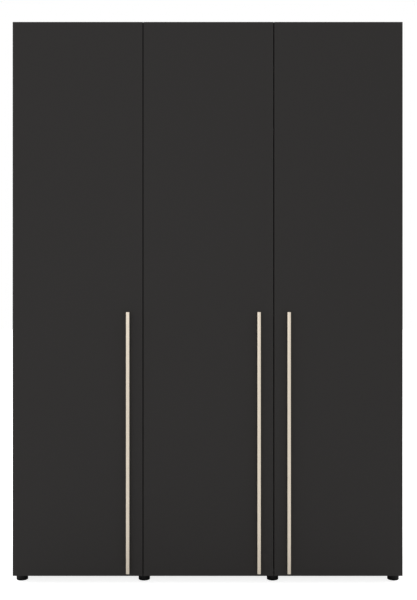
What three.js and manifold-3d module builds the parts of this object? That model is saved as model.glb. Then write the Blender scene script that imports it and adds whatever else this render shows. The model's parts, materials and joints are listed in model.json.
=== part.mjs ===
// A three-door hinged wardrobe: a board carcass on eight round glide feet, three overlay doors with
// long profile handles, concealed cup hinges, a shelf bay on the left, and a double-width hanging bay
// with a hat shelf and a rail on the right.
//
// Millimetres, +Z up. The doors face -Y. The origin is on the floor, under the middle of the overall
// box, handles included. Every piece is one named mesh in the exported group.

import * as THREE from "three";
import { mergeVertices } from "three/addons/utils/BufferGeometryUtils.js";
import Module from "manifold-3d";

const wasm = await Module();
wasm.setup();

// ---------------------------------------------------------------- driving dimensions

// Overall
const WIDTH = 1500; // over the two side panels
const HEIGHT = 2168; // floor to the top of the side panels
const DEPTH = 580; // front of the doors to the rearmost face

// Boards
const BOARD = 16; // carcass boards and shelves
const DOOR_BOARD = 16;
const BACK_BOARD = 3;
const FIT = 0.2; // left between pieces that are pushed together

// Doors
const DOOR_GAP = 3; // between two closed doors
const DOOR_SETBACK = 2; // carcass front to the back of a closed door, held by bumpers
const DOOR_TOP_REVEAL = 4; // carcass showing above the doors
const DOOR_BOTTOM_REVEAL = 3; // carcass showing under the doors
const RIGHT_DOOR_TRIM = 6; // the right door is this much narrower than the other two
const OPENING_ANGLE = 100; // degrees

// Handles: an I-shaped extrusion, screwed on from behind the door
const HANDLE_LENGTH = 1002;
const HANDLE_PROJECTION = 20; // door front to the handle's front
const HANDLE_FACE_WIDTH = 13;
const HANDLE_FACE_THICKNESS = 3;
const HANDLE_WEB = 3;
const HANDLE_BASE_WIDTH = 9; // the screw channel against the door
const HANDLE_BASE_DEPTH = 6;
const HANDLE_EDGE_RADIUS = 1;
const HANDLE_EDGE_INSET = 56; // closing edge of the door to the middle of the handle
const HANDLE_BOTTOM_INSET = 13; // lower edge of the door to the handle's lower end

// Feet
const FOOT_HEIGHT = 30;
const FOOT_RADIUS = 22.5;
const FOOT_NECK_RADIUS = 20;
const FOOT_NECK_HEIGHT = 5;
const FOOT_EDGE_RADIUS = 2.5;
const FOOT_SIDE_INSET = 23; // outer face of a side panel to a foot's middle
const FOOT_DEPTH_INSET = 53; // front or rear edge of the carcass to a foot's middle

// Shelves
const SHELF_COUNT = 4; // adjustable shelves in the left bay
const PIN_PITCH = 32; // the row of holes that the shelf pins go in
const SHELF_SIDE_CLEARANCE = 1;
const SHELF_FRONT_SETBACK = 20;
const SHELF_REAR_SETBACK = 3;

// Hanging rail: an oval steel tube, its long axis upright
const RAIL_HEIGHT = 30;
const RAIL_THICKNESS = 15;
const RAIL_WALL = 1.2;
const RAIL_DROP = 60; // underside of the hat shelf to the middle of the rail
const RAIL_END_CLEARANCE = 1;
const BRACKET_PLATE = 2.5;
const BRACKET_WALL = 2;
const BRACKET_CLEARANCE = 0.4; // round the rail
const BRACKET_REACH = 12; // how far an end bracket holds the rail
const BRACKET_MARGIN = 8; // plate round the socket
const CENTRE_BRACKET_WIDTH = 20;
const CENTRE_BRACKET_FLANGE = 44;
const CENTRE_BRACKET_DEPTH = 24;
const CENTRE_BRACKET_STEM = 5;

// Back joining strip: an H-shaped plastic extrusion
const STRIP_WEB = 1.2;
const STRIP_FLANGE_WIDTH = 14;
const STRIP_FLANGE_THICKNESS = 1;
const BACK_SIDE_INSET = 2; // outer faces of the carcass to the edges of the back

// Concealed hinges. Sizes across run from the door's hinge edge towards its middle; sizes in depth
// run from the back of the closed door into the carcass, so what is inside the door is negative.
const HINGES_PER_DOOR = 4;
const HINGE_END_INSET = 100; // end of the door to the first hinge
const HINGE_AXIS_ACROSS = 6;
const HINGE_AXIS_DEPTH = -12;
const CUP_EDGE_DISTANCE = 3.5; // door edge to the cup
const CUP_RADIUS = 17.5;
const CUP_DEPTH = 12;
const CUP_WALL = 1;
const CUP_FLANGE = 1.2;
const CUP_RIM = 1.5; // the flange's width round the cup
const CUP_BORE_CLEARANCE = 0.4;
const CUP_WING_HALF_LENGTH = 29;
const CUP_WING_BACK = 4; // wing plate, from the cup's middle towards the door's edge
const CUP_WING_FRONT = 15; // and towards the door's middle
const LINK_PIN_ACROSS = 8.5; // the link's pin in the cup
const LINK_PIN_DEPTH = -5.5;
const LINK_KNEE_LENGTH = 7.5; // that pin to the link's bend, which takes it round the cup's rim
const LINK_KNEE_LEAN = 12; // degrees that this stretch leans over the rim with the door open
const LINK_THICKNESS = 2.4;
const LINK_HALF_WIDTH = 4.5;
const LINK_EYE_RADIUS = 3;
const LINK_TIP_RADIUS = 1.7;
const PIN_RADIUS = 1.5;
const PIN_CLEARANCE = 0.2;
const ARM_HALF_WIDTH = 7;
const ARM_TIP_RADIUS = 4.6;
const ARM_CUP_CLEARANCE = 1.7; // the arm's tip to the far wall of the cup
const ARM_THICKNESS = 8;
const ARM_LENGTH = 62; // back of the door to the arm's rear end
const ARM_CRANK_START = 7;
const ARM_CRANK_END = 16;
const ARM_TAPER_START = 30;
const ARM_SLOT_CLEARANCE = 0.5;
const PLATE_THICKNESS = 3.6;
const PLATE_HALF_HEIGHT = 25;
const PLATE_HALF_DEPTH = 16;
const SYSTEM_LINE = 37; // carcass front to the row of system holes

// Facets
const ROUND_SEGMENTS = 24;
const ARC_SEGMENTS = 6;

// ---------------------------------------------------------------- levels worked out from them

const HALF_WIDTH = WIDTH / 2;
const HANDLE_FRONT = -(DEPTH + HANDLE_PROJECTION) / 2;
const DOOR_FRONT = HANDLE_FRONT + HANDLE_PROJECTION;
const DOOR_BACK = DOOR_FRONT + DOOR_BOARD;
const CARCASS_FRONT = DOOR_BACK + DOOR_SETBACK;
const REAR = DOOR_FRONT + DEPTH;
const BACK_REAR = REAR - STRIP_FLANGE_THICKNESS;
const BACK_FRONT = BACK_REAR - BACK_BOARD;
const CARCASS_REAR = BACK_FRONT - FIT;

const DOOR_BOTTOM = FOOT_HEIGHT + DOOR_BOTTOM_REVEAL;
const DOOR_TOP = HEIGHT - DOOR_TOP_REVEAL;
const FLOOR_TOP = FOOT_HEIGHT + BOARD; // upper face of the bottom panel
const CEILING = HEIGHT - BOARD; // lower face of the top panel

const WIDE_DOOR = (WIDTH - 2 * DOOR_GAP + RIGHT_DOOR_TRIM) / 3;
const LEFT_DOOR_X = [-HALF_WIDTH, -HALF_WIDTH + WIDE_DOOR];
const MIDDLE_DOOR_X = [LEFT_DOOR_X[1] + DOOR_GAP, LEFT_DOOR_X[1] + DOOR_GAP + WIDE_DOOR];
const RIGHT_DOOR_X = [MIDDLE_DOOR_X[1] + DOOR_GAP, HALF_WIDTH];

const PARTITION_MIDDLE = LEFT_DOOR_X[1] + DOOR_GAP / 2;
const PARTITION_X = [PARTITION_MIDDLE - BOARD / 2, PARTITION_MIDDLE + BOARD / 2];
const LEFT_BAY_X = [-HALF_WIDTH + BOARD, PARTITION_X[0]];
const WIDE_BAY_X = [PARTITION_X[1], HALF_WIDTH - BOARD];
const WIDE_BAY_MIDDLE = (WIDE_BAY_X[0] + WIDE_BAY_X[1]) / 2;

// ---------------------------------------------------------------- materials

const finish = (color, roughness, metalness) =>
  new THREE.MeshStandardMaterial({ color, roughness, metalness });

const graphite = finish(0x32302f, 0.55, 0);
const linen = finish(0xcbc6bb, 0.6, 0);
const hardboard = finish(0x8c7050, 0.85, 0);
const champagne = finish(0xdfd3c4, 0.35, 0.9);
const blackPlastic = finish(0x161616, 0.5, 0);
const greyPlastic = finish(0xb9b5ad, 0.5, 0);
const nickel = finish(0xb8b4ac, 0.3, 1);
const chrome = finish(0xd5d7da, 0.12, 1);

// ---------------------------------------------------------------- shapes

/** A box over three spans, each [low, high]. */
function block([x0, x1], [y0, y1], [z0, z1]) {
  const geometry = new THREE.BoxGeometry(x1 - x0, y1 - y0, z1 - z0);
  return geometry.translate((x0 + x1) / 2, (y0 + y1) / 2, (z0 + z1) / 2);
}

/** A plan outline raised between two heights. */
function prism(shape, z0, z1) {
  const options = { depth: z1 - z0, bevelEnabled: false, curveSegments: ARC_SEGMENTS };
  return new THREE.ExtrudeGeometry(shape, options).translate(0, 0, z0);
}

/** An upright round bar. */
function rod(x, y, radius, z0, z1, segments = ROUND_SEGMENTS) {
  const geometry = new THREE.CylinderGeometry(radius, radius, z1 - z0, segments);
  return geometry.rotateX(Math.PI / 2).translate(x, y, (z0 + z1) / 2);
}

/** A geometry as a manifold-3d solid. */
function solid(geometry) {
  const bare = geometry.clone();
  bare.deleteAttribute("normal");
  bare.deleteAttribute("uv");
  const merged = mergeVertices(bare, 1e-4);
  return new wasm.Manifold(
    new wasm.Mesh({
      numProp: 3,
      vertProperties: merged.attributes.position.array,
      triVerts: new Uint32Array(merged.index.array),
    }),
  );
}

/** A manifold-3d solid as a geometry. */
function surface(made) {
  const mesh = made.getMesh();
  const geometry = new THREE.BufferGeometry();
  geometry.setAttribute("position", new THREE.BufferAttribute(mesh.vertProperties, 3));
  geometry.setIndex(new THREE.BufferAttribute(mesh.triVerts, 1));
  geometry.computeVertexNormals();
  return geometry;
}

const joined = (...geometries) => surface(geometries.map(solid).reduce((a, b) => a.add(b)));
const cut = (geometry, ...tools) =>
  surface(tools.map(solid).reduce((a, b) => a.subtract(b), solid(geometry)));

/** A stadium: a rectangle with round ends, upright, in the plane that the shape is drawn in. */
function stadium(width, height) {
  const radius = width / 2;
  const straight = height / 2 - radius;
  const shape = new THREE.Shape();
  shape.moveTo(radius, -straight);
  shape.lineTo(radius, straight);
  shape.absarc(0, straight, radius, 0, Math.PI, false);
  shape.lineTo(-radius, -straight);
  shape.absarc(0, -straight, radius, Math.PI, 2 * Math.PI, false);
  return shape;
}

/** An outline drawn in depth and height, run along X from one end to the other. */
function alongX(shape, x0, x1) {
  const options = { depth: x1 - x0, bevelEnabled: false, curveSegments: ARC_SEGMENTS };
  const geometry = new THREE.ExtrudeGeometry(shape, options);
  // (x, y, z) of the drawing become (depth, height, across).
  const turn = new THREE.Matrix4().set(0, 0, 1, x0, 1, 0, 0, 0, 0, 1, 0, 0, 0, 0, 0, 1);
  return geometry.applyMatrix4(turn);
}

const wardrobe = new THREE.Group();

function add(name, material, geometry, x = 0, y = 0, z = 0) {
  const mesh = new THREE.Mesh(geometry, material);
  mesh.name = name;
  mesh.position.set(x, y, z);
  wardrobe.add(mesh);
}

// ---------------------------------------------------------------- carcass

const CARCASS_Y = [CARCASS_FRONT, CARCASS_REAR];
const BETWEEN_SIDES_X = [-HALF_WIDTH + BOARD + FIT, HALF_WIDTH - BOARD - FIT];

function makeCarcass() {
  const sideZ = [FOOT_HEIGHT, HEIGHT];
  const leftX = [-HALF_WIDTH, -HALF_WIDTH + BOARD];
  const rightX = [HALF_WIDTH - BOARD, HALF_WIDTH];
  add("left_side_panel", graphite, block(leftX, CARCASS_Y, sideZ));
  add("right_side_panel", graphite, block(rightX, CARCASS_Y, sideZ));
  add("bottom_panel", graphite, block(BETWEEN_SIDES_X, CARCASS_Y, [FOOT_HEIGHT, FLOOR_TOP]));
  add("top_panel", graphite, block(BETWEEN_SIDES_X, CARCASS_Y, [CEILING, HEIGHT]));
  add("partition_panel", linen, block(PARTITION_X, CARCASS_Y, [FLOOR_TOP + FIT, CEILING - FIT]));
}

// ---------------------------------------------------------------- back

/** The H section of the strip, in plan, with its web on x = 0. */
function stripSection() {
  const web = STRIP_WEB / 2;
  const flange = STRIP_FLANGE_WIDTH / 2;
  const front = BACK_FRONT - STRIP_FLANGE_THICKNESS;
  const corners = [
    [flange, front],
    [flange, BACK_FRONT - FIT / 2],
    [web, BACK_FRONT - FIT / 2],
    [web, BACK_REAR + FIT / 2],
    [flange, BACK_REAR + FIT / 2],
    [flange, REAR],
  ];
  const mirrored = corners.map(([x, y]) => [-x, y]).reverse();
  return new THREE.Shape([...corners, ...mirrored].map(([x, y]) => new THREE.Vector2(x, y)));
}

function makeBack() {
  const backY = [BACK_FRONT, BACK_REAR];
  const backZ = [FOOT_HEIGHT, HEIGHT];
  const beside = STRIP_WEB / 2 + FIT;
  const sheets = {
    left_back_panel: [-HALF_WIDTH + BACK_SIDE_INSET, PARTITION_MIDDLE - FIT],
    middle_back_panel: [PARTITION_MIDDLE + FIT, WIDE_BAY_MIDDLE - beside],
    right_back_panel: [WIDE_BAY_MIDDLE + beside, HALF_WIDTH - BACK_SIDE_INSET],
  };
  for (const [name, x] of Object.entries(sheets)) add(name, hardboard, block(x, backY, backZ));
  const strip = prism(stripSection(), FLOOR_TOP + FIT, CEILING - FIT);
  add("back_joining_strip", greyPlastic, strip, WIDE_BAY_MIDDLE);
}

// ---------------------------------------------------------------- feet

function footGeometry() {
  const top = FOOT_HEIGHT - FIT;
  const shoulder = top - FOOT_NECK_HEIGHT;
  const profile = [new THREE.Vector2(0, 0)];
  for (let i = 0; i <= ARC_SEGMENTS / 2; i++) {
    const angle = ((i / (ARC_SEGMENTS / 2)) * Math.PI) / 2;
    const across = FOOT_RADIUS - FOOT_EDGE_RADIUS + FOOT_EDGE_RADIUS * Math.sin(angle);
    profile.push(new THREE.Vector2(across, FOOT_EDGE_RADIUS * (1 - Math.cos(angle))));
  }
  profile.push(new THREE.Vector2(FOOT_RADIUS, shoulder));
  profile.push(new THREE.Vector2(FOOT_NECK_RADIUS, shoulder));
  profile.push(new THREE.Vector2(FOOT_NECK_RADIUS, top));
  profile.push(new THREE.Vector2(0, top));
  return new THREE.LatheGeometry(profile, ROUND_SEGMENTS).rotateX(Math.PI / 2);
}

function makeFeet() {
  const columns = [
    -HALF_WIDTH + FOOT_SIDE_INSET,
    PARTITION_MIDDLE,
    MIDDLE_DOOR_X[1] + DOOR_GAP / 2,
    HALF_WIDTH - FOOT_SIDE_INSET,
  ];
  columns.forEach((x, i) => {
    add(`front_foot_${i + 1}`, blackPlastic, footGeometry(), x, CARCASS_FRONT + FOOT_DEPTH_INSET);
    add(`rear_foot_${i + 1}`, blackPlastic, footGeometry(), x, CARCASS_REAR - FOOT_DEPTH_INSET);
  });
}

// ---------------------------------------------------------------- shelves

const SHELF_Y = [CARCASS_FRONT + SHELF_FRONT_SETBACK, CARCASS_REAR - SHELF_REAR_SETBACK];

/** Underside of the left bay's shelf i, counted from 1 at the bottom, on the row of pin holes. */
function shelfUnderside(i) {
  const even = (i * (CEILING - FLOOR_TOP)) / (SHELF_COUNT + 1);
  return FLOOR_TOP + Math.round(even / PIN_PITCH) * PIN_PITCH;
}

const HAT_SHELF_UNDERSIDE = shelfUnderside(SHELF_COUNT);

const shelf = ([x0, x1], underside) =>
  block(
    [x0 + SHELF_SIDE_CLEARANCE, x1 - SHELF_SIDE_CLEARANCE],
    SHELF_Y,
    [underside, underside + BOARD],
  );

function makeShelves() {
  for (let i = 1; i <= SHELF_COUNT; i++)
    add(`left_bay_shelf_${i}`, linen, shelf(LEFT_BAY_X, shelfUnderside(i)));
  add("hat_shelf", linen, shelf(WIDE_BAY_X, HAT_SHELF_UNDERSIDE));
}

// ---------------------------------------------------------------- hanging rail

const RAIL_Y = (CARCASS_FRONT + CARCASS_REAR) / 2;
const RAIL_Z = HAT_SHELF_UNDERSIDE - RAIL_DROP;
const SOCKET_THICKNESS = RAIL_THICKNESS + 2 * BRACKET_CLEARANCE;
const SOCKET_HEIGHT = RAIL_HEIGHT + 2 * BRACKET_CLEARANCE;

function railGeometry() {
  const section = stadium(RAIL_THICKNESS, RAIL_HEIGHT);
  section.holes.push(stadium(RAIL_THICKNESS - 2 * RAIL_WALL, RAIL_HEIGHT - 2 * RAIL_WALL));
  const end = FIT + BRACKET_PLATE + RAIL_END_CLEARANCE;
  return alongX(section, WIDE_BAY_X[0] + end, WIDE_BAY_X[1] - end);
}

/** A plate screwed to the board at x, with a socket, open at the top, that reaches towards side. */
function railBracket(x, side) {
  const span = (near, far) => [x + side * near, x + side * far].sort((a, b) => a - b);
  const plateShape = stadium(SOCKET_THICKNESS + 2 * BRACKET_MARGIN, SOCKET_HEIGHT + 2 * BRACKET_MARGIN);
  const ringShape = stadium(SOCKET_THICKNESS + 2 * BRACKET_WALL, SOCKET_HEIGHT + 2 * BRACKET_WALL);
  const plate = alongX(plateShape, ...span(FIT, FIT + BRACKET_PLATE));
  const socket = alongX(ringShape, ...span(BRACKET_PLATE, BRACKET_PLATE + BRACKET_REACH));
  const bore = alongX(
    stadium(SOCKET_THICKNESS, SOCKET_HEIGHT),
    ...span(FIT + BRACKET_PLATE, 2 * BRACKET_REACH),
  );
  const mouth = block(
    span(FIT + BRACKET_PLATE, 2 * BRACKET_REACH),
    [-SOCKET_THICKNESS, SOCKET_THICKNESS],
    [SOCKET_HEIGHT / 4, SOCKET_HEIGHT],
  );
  return cut(joined(plate, socket), bore, mouth);
}

/** A flange under the hat shelf, a stem, and a saddle over the upper half of the rail. */
function centreBracket() {
  const half = CENTRE_BRACKET_WIDTH / 2;
  const top = RAIL_DROP - FIT;
  const flange = block(
    [-CENTRE_BRACKET_FLANGE / 2, CENTRE_BRACKET_FLANGE / 2],
    [-CENTRE_BRACKET_DEPTH / 2, CENTRE_BRACKET_DEPTH / 2],
    [top - BRACKET_PLATE, top],
  );
  const stem = block(
    [-half, half],
    [-CENTRE_BRACKET_STEM / 2, CENTRE_BRACKET_STEM / 2],
    [RAIL_HEIGHT / 2, top],
  );
  const saddle = alongX(
    stadium(SOCKET_THICKNESS + 2 * BRACKET_WALL, SOCKET_HEIGHT + 2 * BRACKET_WALL),
    -half,
    half,
  );
  const bore = alongX(stadium(SOCKET_THICKNESS, SOCKET_HEIGHT), -2 * half, 2 * half);
  const below = block([-2 * half, 2 * half], [-RAIL_HEIGHT, RAIL_HEIGHT], [-2 * RAIL_HEIGHT, 0]);
  return cut(joined(flange, stem, saddle), bore, below);
}

function makeRail() {
  add("hanging_rail", chrome, railGeometry(), 0, RAIL_Y, RAIL_Z);
  add("rail_bracket_left", nickel, railBracket(WIDE_BAY_X[0], 1), 0, RAIL_Y, RAIL_Z);
  add("rail_bracket_right", nickel, railBracket(WIDE_BAY_X[1], -1), 0, RAIL_Y, RAIL_Z);
  add("rail_centre_bracket", nickel, centreBracket(), WIDE_BAY_MIDDLE, RAIL_Y, RAIL_Z);
}

// ---------------------------------------------------------------- hinges

const CUP_ACROSS = CUP_EDGE_DISTANCE + CUP_RADIUS;

/**
 * Where the link turns on the arm: as far from the cup's pin with the door shut as with it open, and
 * where the arm's tip still fits inside the cup.
 */
function linkPivot() {
  const pinAngle = Math.atan2(LINK_PIN_DEPTH - HINGE_AXIS_DEPTH, LINK_PIN_ACROSS - HINGE_AXIS_ACROSS);
  const angle = pinAngle - THREE.MathUtils.degToRad(OPENING_ANGLE) / 2;
  const farWall = CUP_ACROSS + Math.sqrt((CUP_RADIUS - CUP_WALL) ** 2 - ARM_HALF_WIDTH ** 2);
  const pivotAcross = farWall - ARM_CUP_CLEARANCE - ARM_TIP_RADIUS;
  return [pivotAcross, HINGE_AXIS_DEPTH + (pivotAcross - HINGE_AXIS_ACROSS) * Math.tan(angle)];
}

const [PIVOT_ACROSS, PIVOT_DEPTH] = linkPivot();

/** The link's bend with the door shut. Opening turns the link, as the door sees it, the other way. */
function linkKnee() {
  const radius = Math.hypot(LINK_PIN_DEPTH - HINGE_AXIS_DEPTH, LINK_PIN_ACROSS - HINGE_AXIS_ACROSS);
  const length = Math.hypot(LINK_PIN_DEPTH - PIVOT_DEPTH, LINK_PIN_ACROSS - PIVOT_ACROSS);
  const halfOpening = THREE.MathUtils.degToRad(OPENING_ANGLE) / 2;
  const halfTurn = Math.asin((radius * Math.sin(halfOpening)) / length);
  const open = Math.PI / 2 + THREE.MathUtils.degToRad(LINK_KNEE_LEAN);
  const shut = open - 2 * halfOpening - 2 * halfTurn;
  return [
    LINK_PIN_ACROSS + LINK_KNEE_LENGTH * Math.cos(shut),
    LINK_PIN_DEPTH + LINK_KNEE_LENGTH * Math.sin(shut),
  ];
}

/** An ordered span for a hinge on the door's left edge (hand 1) or its right edge (hand -1). */
const across = (hand, near, far) => [hand * near, hand * far].sort((a, b) => a - b);

/** The arm and its mounting plate. overlay is how far the door covers the board that carries it. */
function hingeArm(hand, overlay) {
  const boardFace = overlay + FIT;
  const base = boardFace + PLATE_THICKNESS;
  const seat = base - FIT; // the arm is sunk this far into its plate, so that they join
  const outline = new THREE.Shape();
  outline.moveTo(hand * seat, ARM_LENGTH);
  outline.lineTo(hand * (base + ARM_THICKNESS), ARM_LENGTH);
  outline.lineTo(hand * (PIVOT_ACROSS + ARM_TIP_RADIUS), ARM_TAPER_START);
  const [from, to] = hand > 0 ? [0, -Math.PI] : [Math.PI, 2 * Math.PI];
  outline.absarc(hand * PIVOT_ACROSS, PIVOT_DEPTH, ARM_TIP_RADIUS, from, to, hand > 0);
  outline.lineTo(hand * (PIVOT_ACROSS - ARM_TIP_RADIUS), ARM_CRANK_START);
  outline.lineTo(hand * seat, ARM_CRANK_END);
  const arm = prism(outline, -ARM_HALF_WIDTH, ARM_HALF_WIDTH);
  const line = SYSTEM_LINE + DOOR_SETBACK;
  const plate = block(
    across(hand, boardFace, base),
    [line - PLATE_HALF_DEPTH, line + PLATE_HALF_DEPTH],
    [-PLATE_HALF_HEIGHT, PLATE_HALF_HEIGHT],
  );
  const slotHalf = LINK_HALF_WIDTH + ARM_SLOT_CLEARANCE;
  const slotReach = LINK_EYE_RADIUS + ARM_SLOT_CLEARANCE;
  const slot = block(
    across(hand, PIVOT_ACROSS - 2 * ARM_TIP_RADIUS, PIVOT_ACROSS + 2 * ARM_TIP_RADIUS),
    [PIVOT_DEPTH - 2 * ARM_TIP_RADIUS, PIVOT_DEPTH + slotReach],
    [-slotHalf, slotHalf],
  );
  const pin = rod(hand * PIVOT_ACROSS, PIVOT_DEPTH, PIN_RADIUS, -slotHalf - 1, slotHalf + 1, 12);
  return joined(cut(joined(arm, plate), slot), pin);
}

/** The cup, its rim and the wings that are screwed to the back of the door. */
function hingeCup(hand) {
  const inner = CUP_RADIUS - CUP_WALL;
  const rim = CUP_RADIUS + CUP_RIM;
  const profile = [
    [0, -CUP_DEPTH],
    [CUP_RADIUS, -CUP_DEPTH],
    [CUP_RADIUS, FIT],
    [rim, FIT],
    [rim, CUP_FLANGE],
    [inner, CUP_FLANGE],
    [inner, -CUP_DEPTH + CUP_WALL],
    [0, -CUP_DEPTH + CUP_WALL],
  ];
  const points = profile.map(([radius, depth]) => new THREE.Vector2(radius, depth));
  const cup = new THREE.LatheGeometry(points, ROUND_SEGMENTS);
  const wings = block(
    across(hand, -CUP_WING_BACK, CUP_WING_FRONT),
    [FIT, CUP_FLANGE],
    [-CUP_WING_HALF_LENGTH, CUP_WING_HALF_LENGTH],
  );
  const mouth = new THREE.CylinderGeometry(inner, inner, 2 * CUP_DEPTH, ROUND_SEGMENTS);
  return joined(cup, cut(wings, mouth)).translate(hand * CUP_ACROSS, 0, 0);
}

/** A flat bar on edge, between two points of the plan. */
function linkBar([x0, y0], [x1, y1]) {
  const [half, thin] = [LINK_HALF_WIDTH, LINK_THICKNESS / 2];
  const bar = block([0, Math.hypot(x1 - x0, y1 - y0)], [-thin, thin], [-half, half]);
  return bar.rotateZ(Math.atan2(y1 - y0, x1 - x0)).translate(x0, y0, 0);
}

/** The link, from its eye on the arm's pin, round its bend, to its rolled end in the cup. */
function hingeLink(hand) {
  const half = LINK_HALF_WIDTH;
  const pivot = [hand * PIVOT_ACROSS, PIVOT_DEPTH];
  const [kneeAcross, kneeDepth] = linkKnee();
  const knee = [hand * kneeAcross, kneeDepth];
  const pin = [hand * LINK_PIN_ACROSS, LINK_PIN_DEPTH];
  const eye = rod(...pivot, LINK_EYE_RADIUS, -half, half, 16);
  const bend = rod(...knee, LINK_THICKNESS / 2, -half, half, 12);
  const tip = rod(...pin, LINK_TIP_RADIUS, -half, half, 12);
  const hole = rod(...pivot, PIN_RADIUS + PIN_CLEARANCE, -2 * half, 2 * half, 12);
  return cut(joined(linkBar(pivot, knee), linkBar(knee, pin), eye, bend, tip), hole);
}

const DOOR_HEIGHT = DOOR_TOP - DOOR_BOTTOM;

/** Height of hinge i on a door, counted from 1 at the bottom. */
function hingeHeight(i) {
  const spacing = (DOOR_HEIGHT - 2 * HINGE_END_INSET) / (HINGES_PER_DOOR - 1);
  return DOOR_BOTTOM + HINGE_END_INSET + (i - 1) * spacing;
}

// ---------------------------------------------------------------- doors

/** The door board, with a blind bore in its back for each hinge cup. */
function doorBoard(x, edge, hand) {
  const board = block(x, [DOOR_FRONT, DOOR_BACK], [DOOR_BOTTOM, DOOR_TOP]);
  const radius = CUP_RADIUS + CUP_BORE_CLEARANCE;
  const depth = CUP_DEPTH + CUP_BORE_CLEARANCE;
  const bores = [];
  for (let i = 1; i <= HINGES_PER_DOOR; i++) {
    const bore = new THREE.CylinderGeometry(radius, radius, 2 * depth, ROUND_SEGMENTS);
    bores.push(bore.translate(edge + hand * CUP_ACROSS, DOOR_BACK, hingeHeight(i)));
  }
  return cut(board, ...bores);
}

/** The handle's section in plan: y = 0 at the door, the face at -HANDLE_PROJECTION. */
function handleSection() {
  const face = HANDLE_FACE_WIDTH / 2;
  const web = HANDLE_WEB / 2;
  const base = HANDLE_BASE_WIDTH / 2;
  const front = -HANDLE_PROJECTION;
  const behind = front + HANDLE_FACE_THICKNESS;
  const round = HANDLE_EDGE_RADIUS;
  const shape = new THREE.Shape();
  shape.moveTo(-base, -FIT);
  shape.lineTo(-base, -HANDLE_BASE_DEPTH);
  shape.lineTo(-web, -HANDLE_BASE_DEPTH);
  shape.lineTo(-web, behind);
  shape.lineTo(-face, behind);
  shape.lineTo(-face, front + round);
  shape.absarc(-face + round, front + round, round, Math.PI, 1.5 * Math.PI, false);
  shape.absarc(face - round, front + round, round, 1.5 * Math.PI, 2 * Math.PI, false);
  shape.lineTo(face, behind);
  shape.lineTo(web, behind);
  shape.lineTo(web, -HANDLE_BASE_DEPTH);
  shape.lineTo(base, -HANDLE_BASE_DEPTH);
  shape.lineTo(base, -FIT);
  return shape;
}

/** One door with its handle and hinges. hand is 1 for hinges on its left edge, -1 on its right. */
function makeDoor(name, x, hand, overlay) {
  const [edge, closing] = hand > 0 ? x : [x[1], x[0]];
  add(`${name}_door_panel`, graphite, doorBoard(x, edge, hand));
  const handle = prism(handleSection(), 0, HANDLE_LENGTH);
  const handleX = closing - hand * HANDLE_EDGE_INSET;
  add(`${name}_door_handle`, champagne, handle, handleX, DOOR_FRONT, DOOR_BOTTOM + HANDLE_BOTTOM_INSET);
  for (let i = 1; i <= HINGES_PER_DOOR; i++) {
    const place = [edge, DOOR_BACK, hingeHeight(i)];
    add(`${name}_door_hinge_arm_${i}`, nickel, hingeArm(hand, overlay), ...place);
    add(`${name}_door_hinge_cup_${i}`, nickel, hingeCup(hand), ...place);
  }
  const top = [edge, DOOR_BACK, hingeHeight(HINGES_PER_DOOR)];
  add(`${name}_door_hinge_link_${HINGES_PER_DOOR}`, nickel, hingeLink(hand), ...top);
}

// ---------------------------------------------------------------- assembly

makeCarcass();
makeBack();
makeFeet();
makeShelves();
makeRail();
makeDoor("left", LEFT_DOOR_X, 1, BOARD);
makeDoor("middle", MIDDLE_DOOR_X, 1, PARTITION_X[1] - MIDDLE_DOOR_X[0]);
makeDoor("right", RIGHT_DOOR_X, -1, BOARD);

export default wardrobe;
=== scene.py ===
"""Finishes a three-door hinged wardrobe round its packed model: edge-banded boards, extruded handles,
concealed hinges, rail, glides and small fittings, with the studio that it stands in.

Metres, +Z up, the doors face -Y, and the origin is on the floor.
"""

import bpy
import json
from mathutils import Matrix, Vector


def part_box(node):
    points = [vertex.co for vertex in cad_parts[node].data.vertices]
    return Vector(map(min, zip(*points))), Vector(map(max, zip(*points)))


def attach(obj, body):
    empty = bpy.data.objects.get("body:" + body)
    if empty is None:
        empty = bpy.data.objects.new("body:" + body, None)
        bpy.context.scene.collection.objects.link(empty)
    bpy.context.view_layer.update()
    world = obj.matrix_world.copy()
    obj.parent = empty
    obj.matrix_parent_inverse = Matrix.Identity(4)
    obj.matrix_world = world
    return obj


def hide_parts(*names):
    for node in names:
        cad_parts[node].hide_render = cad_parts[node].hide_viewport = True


bl_info = {
    "name": "Hinged wardrobe",
    "version": (1, 0, 0),
    "blender": (4, 5, 0),
    "location": "3D View > Sidebar > Wardrobe",
    "description": "Makes the finished pieces of a three-door wardrobe and the studio round it",
    "category": "Object",
}

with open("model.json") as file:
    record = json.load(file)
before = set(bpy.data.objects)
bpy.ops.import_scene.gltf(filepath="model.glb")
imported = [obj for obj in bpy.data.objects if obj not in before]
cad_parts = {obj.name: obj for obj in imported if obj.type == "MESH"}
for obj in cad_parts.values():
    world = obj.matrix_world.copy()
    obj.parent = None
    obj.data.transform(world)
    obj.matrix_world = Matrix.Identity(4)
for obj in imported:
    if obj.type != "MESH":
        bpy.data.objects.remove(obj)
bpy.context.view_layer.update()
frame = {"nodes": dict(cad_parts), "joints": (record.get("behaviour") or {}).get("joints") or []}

import json
import math

import bmesh
import bpy
from bpy.props import FloatProperty, FloatVectorProperty, IntProperty, PointerProperty
from mathutils import Matrix, Vector

MM = 0.001
TINY = 1e-6

# ---------------------------------------------------------------- places that the frame gives

DOORS = ("left", "middle", "right")
CARCASS = "carcass"
JOINTS = {joint["name"]: joint for joint in frame["joints"]}

DOOR_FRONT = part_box("left_door_panel")[0].y
DOOR_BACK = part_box("left_door_panel")[1].y
CARCASS_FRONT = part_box("left_side_panel")[0].y
CARCASS_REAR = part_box("left_side_panel")[1].y
FLOOR_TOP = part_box("bottom_panel")[1].z
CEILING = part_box("top_panel")[0].z


def middle(node):
    """The middle of a node's box."""
    low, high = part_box(node)
    return (low + high) / 2


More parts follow.
